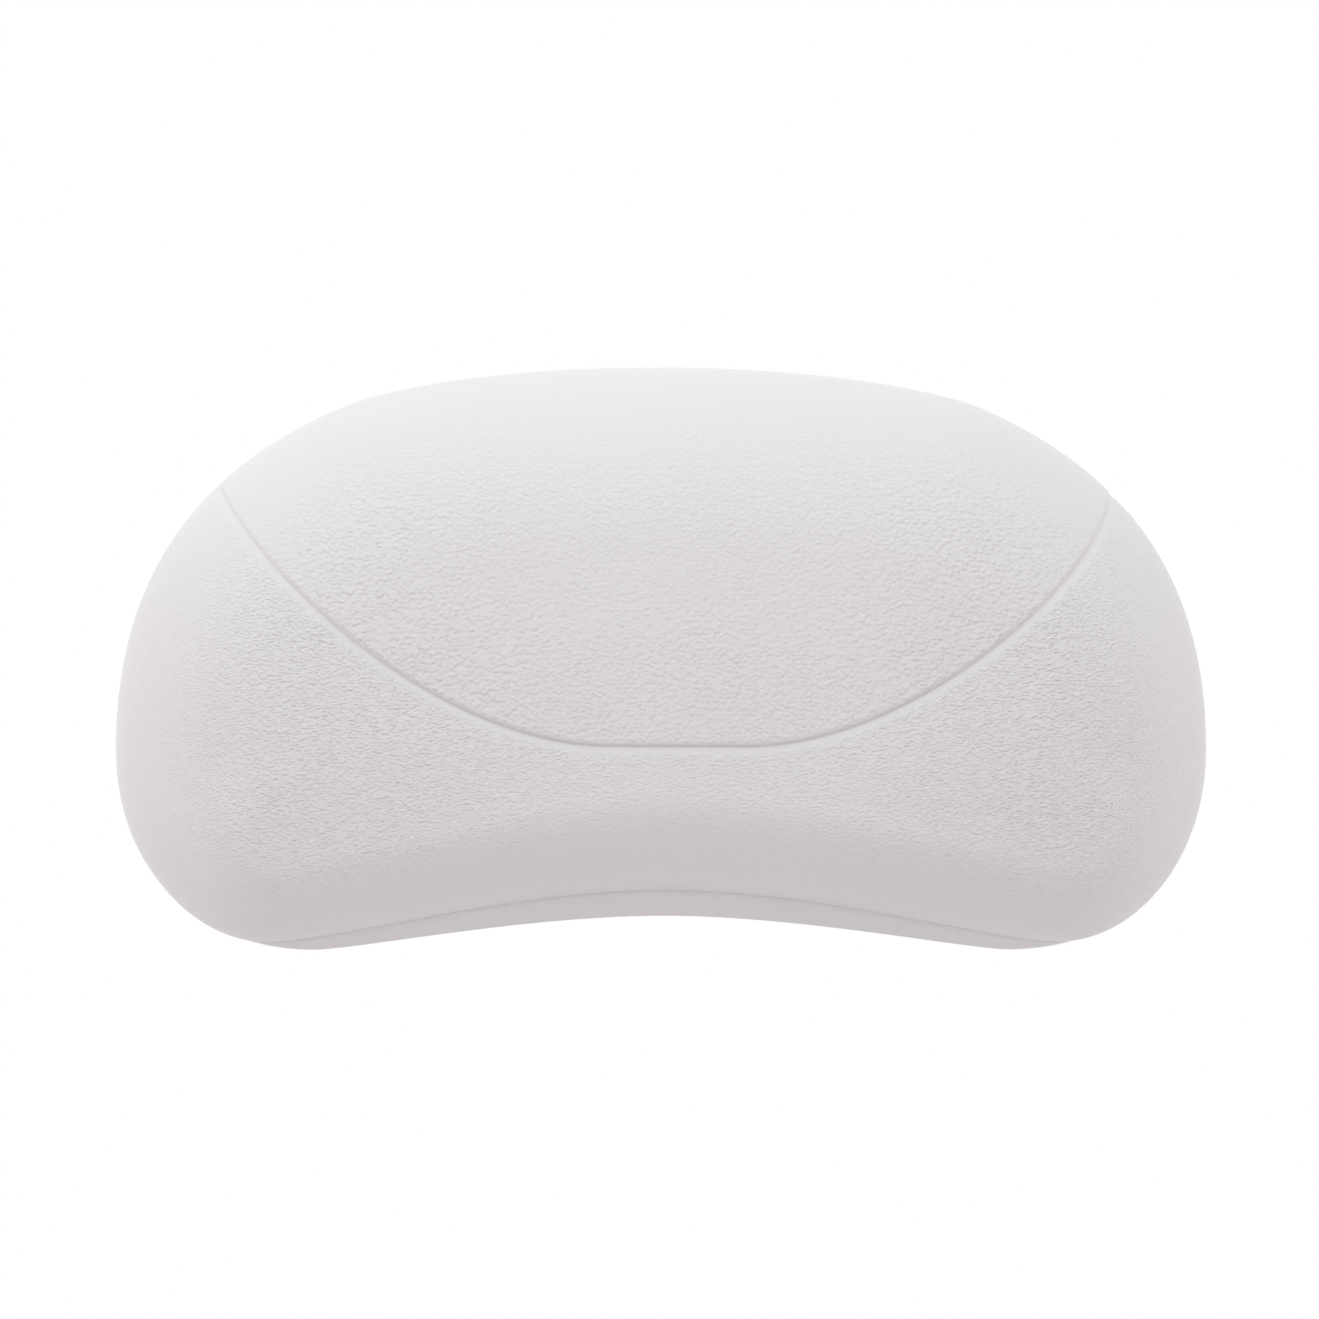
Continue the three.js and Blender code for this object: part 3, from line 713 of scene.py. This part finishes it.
def bar(name, outline, front_y, rear_y, edge=0.0):
    """A plate drawn in X and Z between two stations, with its edges eased."""
    built = bmesh.new()
    corners = [built.verts.new((x * MM, front_y * MM, z * MM)) for x, z in outline]
    face = built.faces.new(corners)
    grown = bmesh.ops.extrude_face_region(built, geom=[face])
    moved = [item for item in grown["geom"] if isinstance(item, bmesh.types.BMVert)]
    bmesh.ops.translate(built, vec=(0, (rear_y - front_y) * MM, 0), verts=moved)
    if edge:
        sharp_bend = 1
        sharp = [e for e in built.edges if e.calc_length() > 0 and len(e.link_faces) == 2
                 and e.calc_face_angle(0) > sharp_bend]
        bmesh.ops.bevel(built, geom=sharp, offset=edge * MM, segments=3, affect="EDGES",
                        profile=0.5)
    bmesh.ops.recalc_face_normals(built, faces=built.faces)
    mesh = bpy.data.meshes.new(name)
    built.to_mesh(mesh)
    built.free()
    piece = bpy.data.objects.new(name, mesh)
    bpy.context.scene.collection.objects.link(piece)
    return piece


def suction_cup(side, x):
    """A soft cup with a thin lip, a boss round the stud's head and a tab to peel it off."""
    # Where wall and hollow bend, as shares of their reach and of the hollow's depth
    wall_reach, wall_depth, hollow_reach, hollow_depth, crown_reach = 0.75, 0.55, 0.8, 0.45, 0.5
    wall_steps, hollow_steps, boss_steps, lip_step = 22, 26, 6, 0.3
    rim_low, rim_high = 0.7, 0.2
    lip = LIP_DIAMETER / 2
    lip_inner = lip - LIP_FLAT
    boss = BOSS_DIAMETER / 2
    bore = STUD_DIAMETER / 2 + FIT_GAP
    head_room = STUD_HEAD_DIAMETER / 2 + FIT_GAP
    outside = curve_pairs((
        (boss, -HOLLOW_DEPTH - CUP_CROWN), (boss + LIP_FLAT, -HOLLOW_DEPTH - CUP_CROWN / 2),
        (lip * wall_reach, -HOLLOW_DEPTH * wall_depth), (lip - lip_step, -LIP_THICKNESS)),
        wall_steps)
    hollow = curve_pairs((
        (lip_inner, 0), (lip_inner * hollow_reach, -HOLLOW_DEPTH * hollow_depth),
        (lip_inner * crown_reach, -HOLLOW_DEPTH), (0, -HOLLOW_DEPTH)), hollow_steps)
    cup = turned_part(f"{side}_cup", x, [
        (0, HEAD_BACK_Y + FIT_GAP), (head_room, HEAD_BACK_Y + FIT_GAP),
        (head_room, HEAD_FRONT_Y - FIT_GAP), (bore, HEAD_FRONT_Y - FIT_GAP),
        (bore, BOSS_END_Y),
        *rounded(boss - BOSS_ROUND, BOSS_END_Y + BOSS_ROUND, BOSS_ROUND, 180, 90,
                 boss_steps),
        *outside, (lip, -LIP_THICKNESS * rim_low), (lip, -LIP_THICKNESS * rim_high), *hollow,
    ], CUP_STEPS)
    half = TAB_WIDTH / 2
    root = lip - LIP_FLAT / 2
    tip = lip + TAB_LENGTH - half
    turns = np.radians(np.linspace(180, 360, ROUND_END_STEPS))
    tongue = [(x - half, -root), *((x + half * math.cos(a), -tip + half * math.sin(a))
                                   for a in turns), (x + half, -root)]
    cup = joined(cup, bar("tongue", tongue, -LIP_THICKNESS, 0, TAB_EDGE), "UNION")
    rib_half = half - RIB_WIDTH
    for step in range(1, TAB_RIBS + 1):
        low = -lip - step * RIB_PITCH - RIB_WIDTH / 2
        high = low + RIB_WIDTH
        rib = [(x - rib_half, low), (x + rib_half, low), (x + rib_half, high), (x - rib_half, high)]
        cup = joined(cup, bar("rib", rib, -LIP_THICKNESS - RIB_HEIGHT, -LIP_THICKNESS / 2,
                              RIB_EDGE), "UNION")
    cup.data.shade_smooth()
    cup.data.set_sharp_from_angle(angle=math.radians(FLAT_EDGE_DEGREES))
    return cup


def threaded_stud(side, x):
    """An M5 stud: a rolled thread down to a chamfered tip, and a flat head in the cup."""
    major = STUD_DIAMETER / 2
    steps, rows_a_turn = 48, 10
    thread_end = HEAD_FRONT_Y - THREAD_RUNOUT
    rows = int((thread_end - STUD_TIP_Y) / THREAD_PITCH * rows_a_turn)
    turn = np.linspace(0, 2 * math.pi, steps, endpoint=False)
    part = Rings()
    loops = []
    for y in np.linspace(STUD_TIP_Y, thread_end, rows):
        place = (y / THREAD_PITCH + turn / (2 * math.pi)) % 1
        flank = np.clip(np.abs(place - 0.5) * THREAD_FLANK - THREAD_CREST, 0, 1)
        limit = major - STUD_TIP_CHAMFER + (y - STUD_TIP_Y)
        root = major - THREAD_DEPTH * flank
        radius = np.minimum(root, limit)
        radius = np.where(thread_end - y < THREAD_COLLAR, major, radius)
        loops.append(part.ring(np.column_stack([
            x + radius * np.cos(turn), np.full(steps, y), radius * np.sin(turn)])))
    head = STUD_HEAD_DIAMETER / 2
    cut = STUD_HEAD_CHAMFER
    for radius, y in ((major, HEAD_FRONT_Y), (head - cut, HEAD_FRONT_Y),
                      (head, HEAD_FRONT_Y + cut), (head, HEAD_BACK_Y - cut),
                      (head - cut, HEAD_BACK_Y)):
        loops.append(part.ring(circle(x, radius, y, steps)))
    part.join(loops)
    part.fan(loops[0], (x, STUD_TIP_Y, 0))
    part.fan(loops[-1], (x, HEAD_BACK_Y, 0))
    return make_piece(f"{side}_threaded_stud", part.points, part.faces, None,
                      STUD_EDGE_DEGREES)


def flat_washer(side, x):
    """A flat washer with eased edges, between the cup's boss and the well's floor."""
    hole = STUD_DIAMETER / 2 + FIT_GAP
    rim = WASHER_DIAMETER / 2
    return turned_part(f"{side}_flat_washer", x, [
        (hole, WASHER_FRONT_Y), (rim - WASHER_EDGE, WASHER_FRONT_Y),
        (rim, WASHER_FRONT_Y + WASHER_EDGE), (rim, WASHER_BACK_Y - WASHER_EDGE),
        (rim - WASHER_EDGE, WASHER_BACK_Y), (hole + WASHER_HOLE_EDGE, WASHER_BACK_Y),
        (hole, WASHER_BACK_Y - WASHER_HOLE_EDGE),
    ], WASHER_STEPS)


def foam_filling():
    """The foam inside the skin, moulded round the board, the nuts and the wells."""
    count = len(FRONT["points"])
    index = np.arange(0, count, count / FOAM_STEPS)
    within = SKIN + FIT_GAP
    form = Rings()
    round_inside = BACK_EDGE_ROUND - within
    rings = [
        back_ring(index, BACK_Y - within, within + round_inside),
        back_ring(index, BACK_Y - within - round_inside, within),
        *reversed(ledge_rings(index, SEAM_Y + within, within, 0, INSIDE_TURNS)),
        *(front_ring(index, within, np.full(len(index), inset)) for inset in ROLL_SHARES),
    ]
    loops = [form.ring(ring) for ring in rings]
    form.join(loops)
    form.fan(loops[0], (0, BACK_Y - within, 0))
    form.fan(loops[-1], (0, SEAM_Y - CROWN_HEIGHT + within, CROWN_CENTRE))
    foam = make_piece("foam_filling", form.points, form.faces, None, SKIN_EDGE_DEGREES)
    half = BOARD_HEIGHT / 2 + FIT_GAP
    reach = BOARD_LENGTH / 2 - BOARD_HEIGHT / 2
    turns = np.radians(np.linspace(-90, 90, ROUND_END_STEPS))
    right = [(reach + half * math.cos(a), half * math.sin(a)) for a in turns]
    left = [(-px, -pz) for px, pz in right]
    foam = joined(foam, bar("board_room", right + left, BOARD_FRONT_Y - FIT_GAP,
                            BOARD_BACK_Y + FIT_GAP), "DIFFERENCE")
    for x in CUP_PLACES.values():
        jacket = WELL_DIAMETER / 2 + within
        flange = NUT_FLANGE_DIAMETER / 2 + FIT_GAP
        shank = STUD_DIAMETER / 2 + FIT_GAP
        room = turned_part("fixing_room", x, [
            (0, STUD_TIP_Y - FIT_GAP), (shank, STUD_TIP_Y - FIT_GAP),
            (shank, FLANGE_FRONT_Y - FIT_GAP), (flange, FLANGE_FRONT_Y - FIT_GAP),
            (flange, BOARD_BACK_Y), (jacket, BOARD_BACK_Y), (jacket, BACK_Y), (0, BACK_Y),
        ], ROOM_STEPS)
        foam = joined(foam, room, "DIFFERENCE")
    return foam


# Materials

def colour(hex_code):
    """A hex colour as linear red, green, blue and alpha."""
    channels = [int(hex_code[k:k + 2], 16) / 255 for k in (1, 3, 5)]
    return (*[c / 12.92 if c <= 0.04045 else ((c + 0.055) / 1.055) ** 2.4 for c in channels], 1)


def feed(tree, node, links):
    """Gives a node's inputs a value or another node's output."""
    for name, value in links.items():
        if isinstance(value, bpy.types.NodeSocket):
            tree.links.new(value, node.inputs[name])
        else:
            node.inputs[name].default_value = value


def add(tree, kind, links=None, **settings):
    """A node with its settings and what feeds its inputs."""
    node = tree.nodes.new(kind)
    for name, value in settings.items():
        setattr(node, name, value)
    feed(tree, node, links or {})
    return node


def material(name):
    """A new material with its tree and its shader."""
    made = bpy.data.materials.new(name)
    made.use_nodes = True
    tree = made.node_tree
    tree.nodes.clear()
    shader = add(tree, "ShaderNodeBsdfPrincipled")
    add(tree, "ShaderNodeOutputMaterial", {"Surface": shader.outputs[0]})
    return made, tree, shader


def self_skinned_polyurethane():
    """White self-skinned polyurethane foam, moulded in a grained mould: a satin skin with
    creased pebbles on the head panel and finer, level ripples on the neck panel."""
    made, tree, shader = material("self_skinned_polyurethane")
    place = add(tree, "ShaderNodeTexCoord").outputs["Object"]
    grain = add(tree, "ShaderNodeAttribute", attribute_name="grain").outputs["Fac"]
    head = add(tree, "ShaderNodeAttribute", attribute_name="head").outputs["Fac"]
    swirl = add(tree, "ShaderNodeTexNoise",
                {"Vector": place, "Scale": 1 / (3.2 * MM), "Detail": 2.0}).outputs["Color"]
    shift = add(tree, "ShaderNodeVectorMath",
                {0: swirl, 1: (0.5, 0.5, 0.5)}, operation="SUBTRACT").outputs[0]
    drawn = add(tree, "ShaderNodeVectorMath",
                {0: shift, "Scale": 1.0 * MM}, operation="SCALE").outputs[0]
    bent = add(tree, "ShaderNodeVectorMath", {0: place, 1: drawn}, operation="ADD").outputs[0]
    reliefs = []
    # Ripples of 1.2 by 0.6 mm on the neck panel and creased pebbles of 1.5 by 1.2 mm on the
    # head panel; in the second pair of numbers, how much is pebble and how much is ripple
    for width, height, pebbled, rippled in ((1.2, 0.6, 0.3, 2.9), (1.5, 1.2, 0.9, 1.1)):
        size = (1 / (width * MM), 1 / (height * MM), 1 / (height * MM))
        mapped = add(tree, "ShaderNodeMapping", {"Vector": bent, "Scale": size}).outputs[0]
        middle = add(tree, "ShaderNodeTexVoronoi", {"Vector": mapped, "Scale": 1.0,
                                                    "Randomness": 0.8},
                     feature="F1").outputs["Distance"]
        pebble = add(tree, "ShaderNodeMapRange",
                     {"Value": middle, "From Max": 0.8, "To Min": pebbled, "To Max": 0.0},
                     interpolation_type="SMOOTHSTEP").outputs[0]
        ripple = add(tree, "ShaderNodeTexNoise",
                     {"Vector": mapped, "Scale": 1.0, "Detail": 0.0}).outputs["Fac"]
        reliefs.append(add(tree, "ShaderNodeMath", {0: ripple, 1: rippled, 2: pebble},
                           operation="MULTIPLY_ADD").outputs[0])
    relief = add(tree, "ShaderNodeMix",
                 {"Factor": head, "A": reliefs[0], "B": reliefs[1]}).outputs[0]
    worn = add(tree, "ShaderNodeTexNoise",
               {"Vector": place, "Scale": 1 / (60 * MM), "Detail": 1.0}).outputs["Fac"]
    patch = add(tree, "ShaderNodeMapRange",
                {"Value": worn, "From Min": 0.35, "From Max": 0.65, "To Min": 0.9,
                 "To Max": 1.0}).outputs[0]
    strength = add(tree, "ShaderNodeMath", {0: grain, 1: patch}, operation="MULTIPLY").outputs[0]
    height = add(tree, "ShaderNodeMath", {0: relief, 1: strength}, operation="MULTIPLY").outputs[0]
    bump = add(tree, "ShaderNodeBump", {"Height": height, "Distance": 0.2 * MM})
    tint = add(tree, "ShaderNodeMix",
               {"Factor": worn, "A": colour("#E3E2E2"), "B": colour("#E1DFDF")},
               data_type="RGBA").outputs["Result"]
    gloss = add(tree, "ShaderNodeMapRange",
                {"Value": height, "To Min": 0.55, "To Max": 0.46}).outputs[0]
    feed(tree, shader, {"Base Color": tint, "Roughness": gloss, "Normal": bump.outputs[0],
                        "IOR": 1.5})
    return made


def open_cell_foam():
    """Cream polyurethane foam, moulded: dull, with a fine open cell."""
    made, tree, shader = material("open_cell_foam")
    place = add(tree, "ShaderNodeTexCoord").outputs["Object"]
    cells = add(tree, "ShaderNodeTexVoronoi", {"Vector": place, "Scale": 1 / (1.2 * MM)})
    bump = add(tree, "ShaderNodeBump",
               {"Height": cells.outputs["Distance"], "Distance": 0.4 * MM})
    tint = add(tree, "ShaderNodeMix",
               {"Factor": cells.outputs["Distance"], "A": colour("#EFE9D8"),
                "B": colour("#DCD2B8")}, data_type="RGBA").outputs["Result"]
    feed(tree, shader, {"Base Color": tint, "Normal": bump.outputs[0], "Roughness": 0.95})
    return made


def moulded_polypropylene():
    """Grey polypropylene, injection moulded: matt, with a fine spark-eroded texture."""
    made, tree, shader = material("moulded_polypropylene")
    place = add(tree, "ShaderNodeTexCoord").outputs["Object"]
    grit = add(tree, "ShaderNodeTexNoise",
               {"Vector": place, "Scale": 1 / (0.5 * MM), "Detail": 4.0}).outputs["Fac"]
    bump = add(tree, "ShaderNodeBump", {"Height": grit, "Distance": 0.05 * MM})
    tint = add(tree, "ShaderNodeMix",
               {"Factor": grit, "A": colour("#85878A"), "B": colour("#919397")},
               data_type="RGBA").outputs["Result"]
    feed(tree, shader, {"Base Color": tint, "Normal": bump.outputs[0], "Roughness": 0.6,
                        "IOR": 1.49})
    return made


def zinc_plated_steel():
    """Steel, rolled and zinc plated: bright and cool, with a faint spangle."""
    made, tree, shader = material("zinc_plated_steel")
    place = add(tree, "ShaderNodeTexCoord").outputs["Object"]
    spangle = add(tree, "ShaderNodeTexVoronoi", {"Vector": place, "Scale": 1 / (1.4 * MM)})
    tint = add(tree, "ShaderNodeMix",
               {"Factor": spangle.outputs["Distance"], "A": colour("#C3C7CB"),
                "B": colour("#AEB3B9")}, data_type="RGBA").outputs["Result"]
    gloss = add(tree, "ShaderNodeMapRange",
                {"Value": spangle.outputs["Distance"], "To Min": 0.28, "To Max": 0.42}).outputs[0]
    feed(tree, shader, {"Base Color": tint, "Roughness": gloss, "Metallic": 1.0})
    return made


def natural_nylon():
    """Natural nylon, moulded: milky and slightly waxy."""
    made, tree, shader = material("natural_nylon")
    place = add(tree, "ShaderNodeTexCoord").outputs["Object"]
    cloud = add(tree, "ShaderNodeTexNoise", {"Vector": place, "Scale": 1 / (5 * MM)}).outputs["Fac"]
    tint = add(tree, "ShaderNodeMix",
               {"Factor": cloud, "A": colour("#F2F0E9"), "B": colour("#E9E6DB")},
               data_type="RGBA").outputs["Result"]
    feed(tree, shader, {"Base Color": tint, "Roughness": 0.42, "IOR": 1.53})
    return made


def clear_soft_vinyl():
    """Clear plasticised vinyl, moulded: glossy, faintly blue and a little cloudy."""
    made, tree, shader = material("clear_soft_vinyl")
    place = add(tree, "ShaderNodeTexCoord").outputs["Object"]
    cloud = add(tree, "ShaderNodeTexNoise",
                {"Vector": place, "Scale": 1 / (9 * MM), "Detail": 2.0}).outputs["Fac"]
    tint = add(tree, "ShaderNodeMix",
               {"Factor": cloud, "A": colour("#F4F9FA"), "B": colour("#EAF1F2")},
               data_type="RGBA").outputs["Result"]
    gloss = add(tree, "ShaderNodeMapRange",
                {"Value": cloud, "To Min": 0.08, "To Max": 0.2}).outputs[0]
    feed(tree, shader, {"Base Color": tint, "Roughness": gloss, "Transmission Weight": 0.85,
                        "IOR": 1.53})
    return made


# Assembly

skin = self_skinned_polyurethane()
steel = zinc_plated_steel()
board_plastic = moulded_polypropylene()
nylon = natural_nylon()
vinyl = clear_soft_vinyl()


def dress(piece, finish, body, slot, *nodes):
    """Gives a piece its finish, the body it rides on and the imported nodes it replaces."""
    piece.data.materials.clear()
    piece.data.materials.append(finish)
    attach(piece, body)
    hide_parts(*nodes)
    return piece


dress(front_cushion(), skin, "cushion", "white_skin", "front_skin")
dress(back_cushion(), skin, "cushion", "white_skin", "back_skin")
dress(foam_filling(), open_cell_foam(), "cushion", "cream_foam", "foam_core")
for side, x in CUP_PLACES.items():
    dress(flat_washer(side, x), nylon, f"{side}_washer", "nylon", f"{side}_washer")
    dress(suction_cup(side, x), vinyl, f"{side}_cup", "clear_vinyl", f"{side}_suction_cup")
    dress(threaded_stud(side, x), steel, f"{side}_cup", "zinc_steel", f"{side}_stud")
for node, finish in (("backing_board", board_plastic), ("left_tee_nut", steel),
                     ("right_tee_nut", steel)):
    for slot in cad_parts[node].material_slots:
        slot.material = finish

# Camera, at the photograph's angle

AZIMUTH = -6.0
ELEVATION = 0.25
ROLL = 0.2
DISTANCE = 2.4
FRAME_WIDTH = 0.3735
TARGET = Vector((-0.00236, -0.03, -0.00005))

lens = bpy.data.cameras.new("camera")
lens.sensor_width = 36
lens.lens = lens.sensor_width * DISTANCE / FRAME_WIDTH
lens.clip_end = 20
camera = bpy.data.objects.new("camera", lens)
bpy.context.scene.collection.objects.link(camera)
azimuth, elevation = math.radians(AZIMUTH), math.radians(ELEVATION)
backward = Vector((math.sin(azimuth) * math.cos(elevation),
                   -math.cos(azimuth) * math.cos(elevation), math.sin(elevation)))
camera.location = TARGET + backward * DISTANCE
camera.rotation_mode = "QUATERNION"
camera.rotation_quaternion = ((-backward).to_track_quat("-Z", "Y")
                              @ Quaternion((0, 0, 1), math.radians(ROLL)))
bpy.context.scene.camera = camera

# Studio, in metres: a white floor and room, a wide softbox overhead and a low, wide fill
# from the front

FLOOR_DROP = 0.30
FLOOR_REACH = 0.7
FLOOR_FADE_START, FLOOR_FADE_END = 0.45, 0.97
FLOOR_STEPS = 96
FLOOR_LIFT = 0.55


def seen_directly(tree):
    """1 for the camera, reflections and clear parts, and 0 for the light on the object."""
    rays = add(tree, "ShaderNodeLightPath")
    direct = add(tree, "ShaderNodeMath",
                 {0: rays.outputs["Is Camera Ray"], 1: rays.outputs["Is Glossy Ray"]},
                 operation="MAXIMUM").outputs[0]
    return add(tree, "ShaderNodeMath", {0: direct, 1: rays.outputs["Is Transmission Ray"]},
               operation="MAXIMUM").outputs[0]


def white_floor():
    """Matt white floor that keeps the shadow, fades into the white room at its rim and is
    lifted to white for the eye alone."""
    made, tree, shader = material("white_floor")
    feed(tree, shader, {"Base Color": colour("#CCC6C5"), "Roughness": 0.95,
                        "Specular IOR Level": 0.1})
    lift = add(tree, "ShaderNodeEmission", {"Color": (1, 1, 1, 1)})
    direct = seen_directly(tree)
    glow = add(tree, "ShaderNodeMath", {0: direct, 1: FLOOR_LIFT}, operation="MULTIPLY")
    tree.links.new(glow.outputs[0], lift.inputs["Strength"])
    lifted = add(tree, "ShaderNodeAddShader", {0: shader.outputs[0], 1: lift.outputs[0]})
    place = add(tree, "ShaderNodeTexCoord").outputs["Object"]
    reach = add(tree, "ShaderNodeVectorMath", {0: place}, operation="LENGTH").outputs["Value"]
    rim = add(tree, "ShaderNodeMapRange",
              {"Value": reach, "From Min": FLOOR_REACH * FLOOR_FADE_START,
               "From Max": FLOOR_REACH * FLOOR_FADE_END},
              interpolation_type="SMOOTHSTEP").outputs[0]
    clear = add(tree, "ShaderNodeBsdfTransparent")
    faded = add(tree, "ShaderNodeMixShader", {"Fac": rim, 1: lifted.outputs[0],
                                              2: clear.outputs[0]})
    out = next(node for node in tree.nodes if node.bl_idname == "ShaderNodeOutputMaterial")
    tree.links.new(faded.outputs[0], out.inputs["Surface"])
    return made


world = bpy.data.worlds.new("studio")
world.use_nodes = True
bpy.context.scene.world = world
sky = world.node_tree
sky.nodes.clear()
# The camera and reflections see plain white; the light on the object is weaker, a little
# warm from below and cool from above, and stronger from behind and from the sides
seen = add(sky, "ShaderNodeBackground", {"Color": (1, 1, 1, 1), "Strength": 1.0})
aim = add(sky, "ShaderNodeSeparateXYZ",
          {0: add(sky, "ShaderNodeTexCoord").outputs["Generated"]})
upward = add(sky, "ShaderNodeMapRange",
             {"Value": aim.outputs["Z"], "From Min": -0.7, "From Max": 0.8}).outputs[0]
air = add(sky, "ShaderNodeMix",
          {"Factor": upward, "A": colour("#FFF2EF"), "B": colour("#F7FAFF")},
          data_type="RGBA").outputs["Result"]
behind = add(sky, "ShaderNodeMapRange",
             {"Value": aim.outputs["Y"], "From Min": -1.0, "From Max": 1.0,
              "To Min": -0.15, "To Max": 0.58}).outputs[0]
height = add(sky, "ShaderNodeMapRange",
             {"Value": upward, "To Min": 0.53, "To Max": 0.62}).outputs[0]
aside = add(sky, "ShaderNodeMath", {0: aim.outputs["X"]},
            operation="ABSOLUTE").outputs[0]
sides = add(sky, "ShaderNodeMapRange",
            {"Value": aside, "From Min": 0.15, "To Max": 0.35}).outputs[0]
level = add(sky, "ShaderNodeMath", {0: height, 1: behind}).outputs[0]
level = add(sky, "ShaderNodeMath", {0: level, 1: sides}).outputs[0]
room = add(sky, "ShaderNodeBackground", {"Color": air, "Strength": level})
either = add(sky, "ShaderNodeMixShader",
             {"Fac": seen_directly(sky), 1: room.outputs[0], 2: seen.outputs[0]})
add(sky, "ShaderNodeOutputWorld", {"Surface": either.outputs[0]})

floor_mesh = bpy.data.meshes.new("floor")
turns = np.linspace(0, 2 * math.pi, FLOOR_STEPS, endpoint=False)
floor_mesh.from_pydata([(FLOOR_REACH * math.cos(turn), FLOOR_REACH * math.sin(turn), -FLOOR_DROP)
                        for turn in turns], [], [tuple(range(FLOOR_STEPS))])
floor = bpy.data.objects.new("floor", floor_mesh)
bpy.context.scene.collection.objects.link(floor)
floor_mesh.materials.append(white_floor())


def softbox(name, place, aim, width, height, power, tint):
    """A rectangular lamp at a place, turned to its aim."""
    lamp = bpy.data.lights.new(name, "AREA")
    lamp.shape = "RECTANGLE"
    lamp.size = width
    lamp.size_y = height
    lamp.energy = power
    lamp.color = colour(tint)[:3]
    holder = bpy.data.objects.new(name, lamp)
    bpy.context.scene.collection.objects.link(holder)
    holder.location = place
    holder.rotation_mode = "QUATERNION"
    holder.rotation_quaternion = (Vector(aim) - Vector(place)).to_track_quat("-Z", "Y")


softbox("overhead", place=(-0.12, -0.3, 0.62), aim=(0, -0.03, 0), width=1.0, height=0.7,
        power=1.85, tint="#FAFCFF")
softbox("front_fill", place=(-0.2, -1.5, -0.02), aim=(0, 0, 0), width=1.6, height=0.5,
        power=3.5, tint="#FFFFFF")

bpy.context.scene.view_settings.view_transform = "Standard"
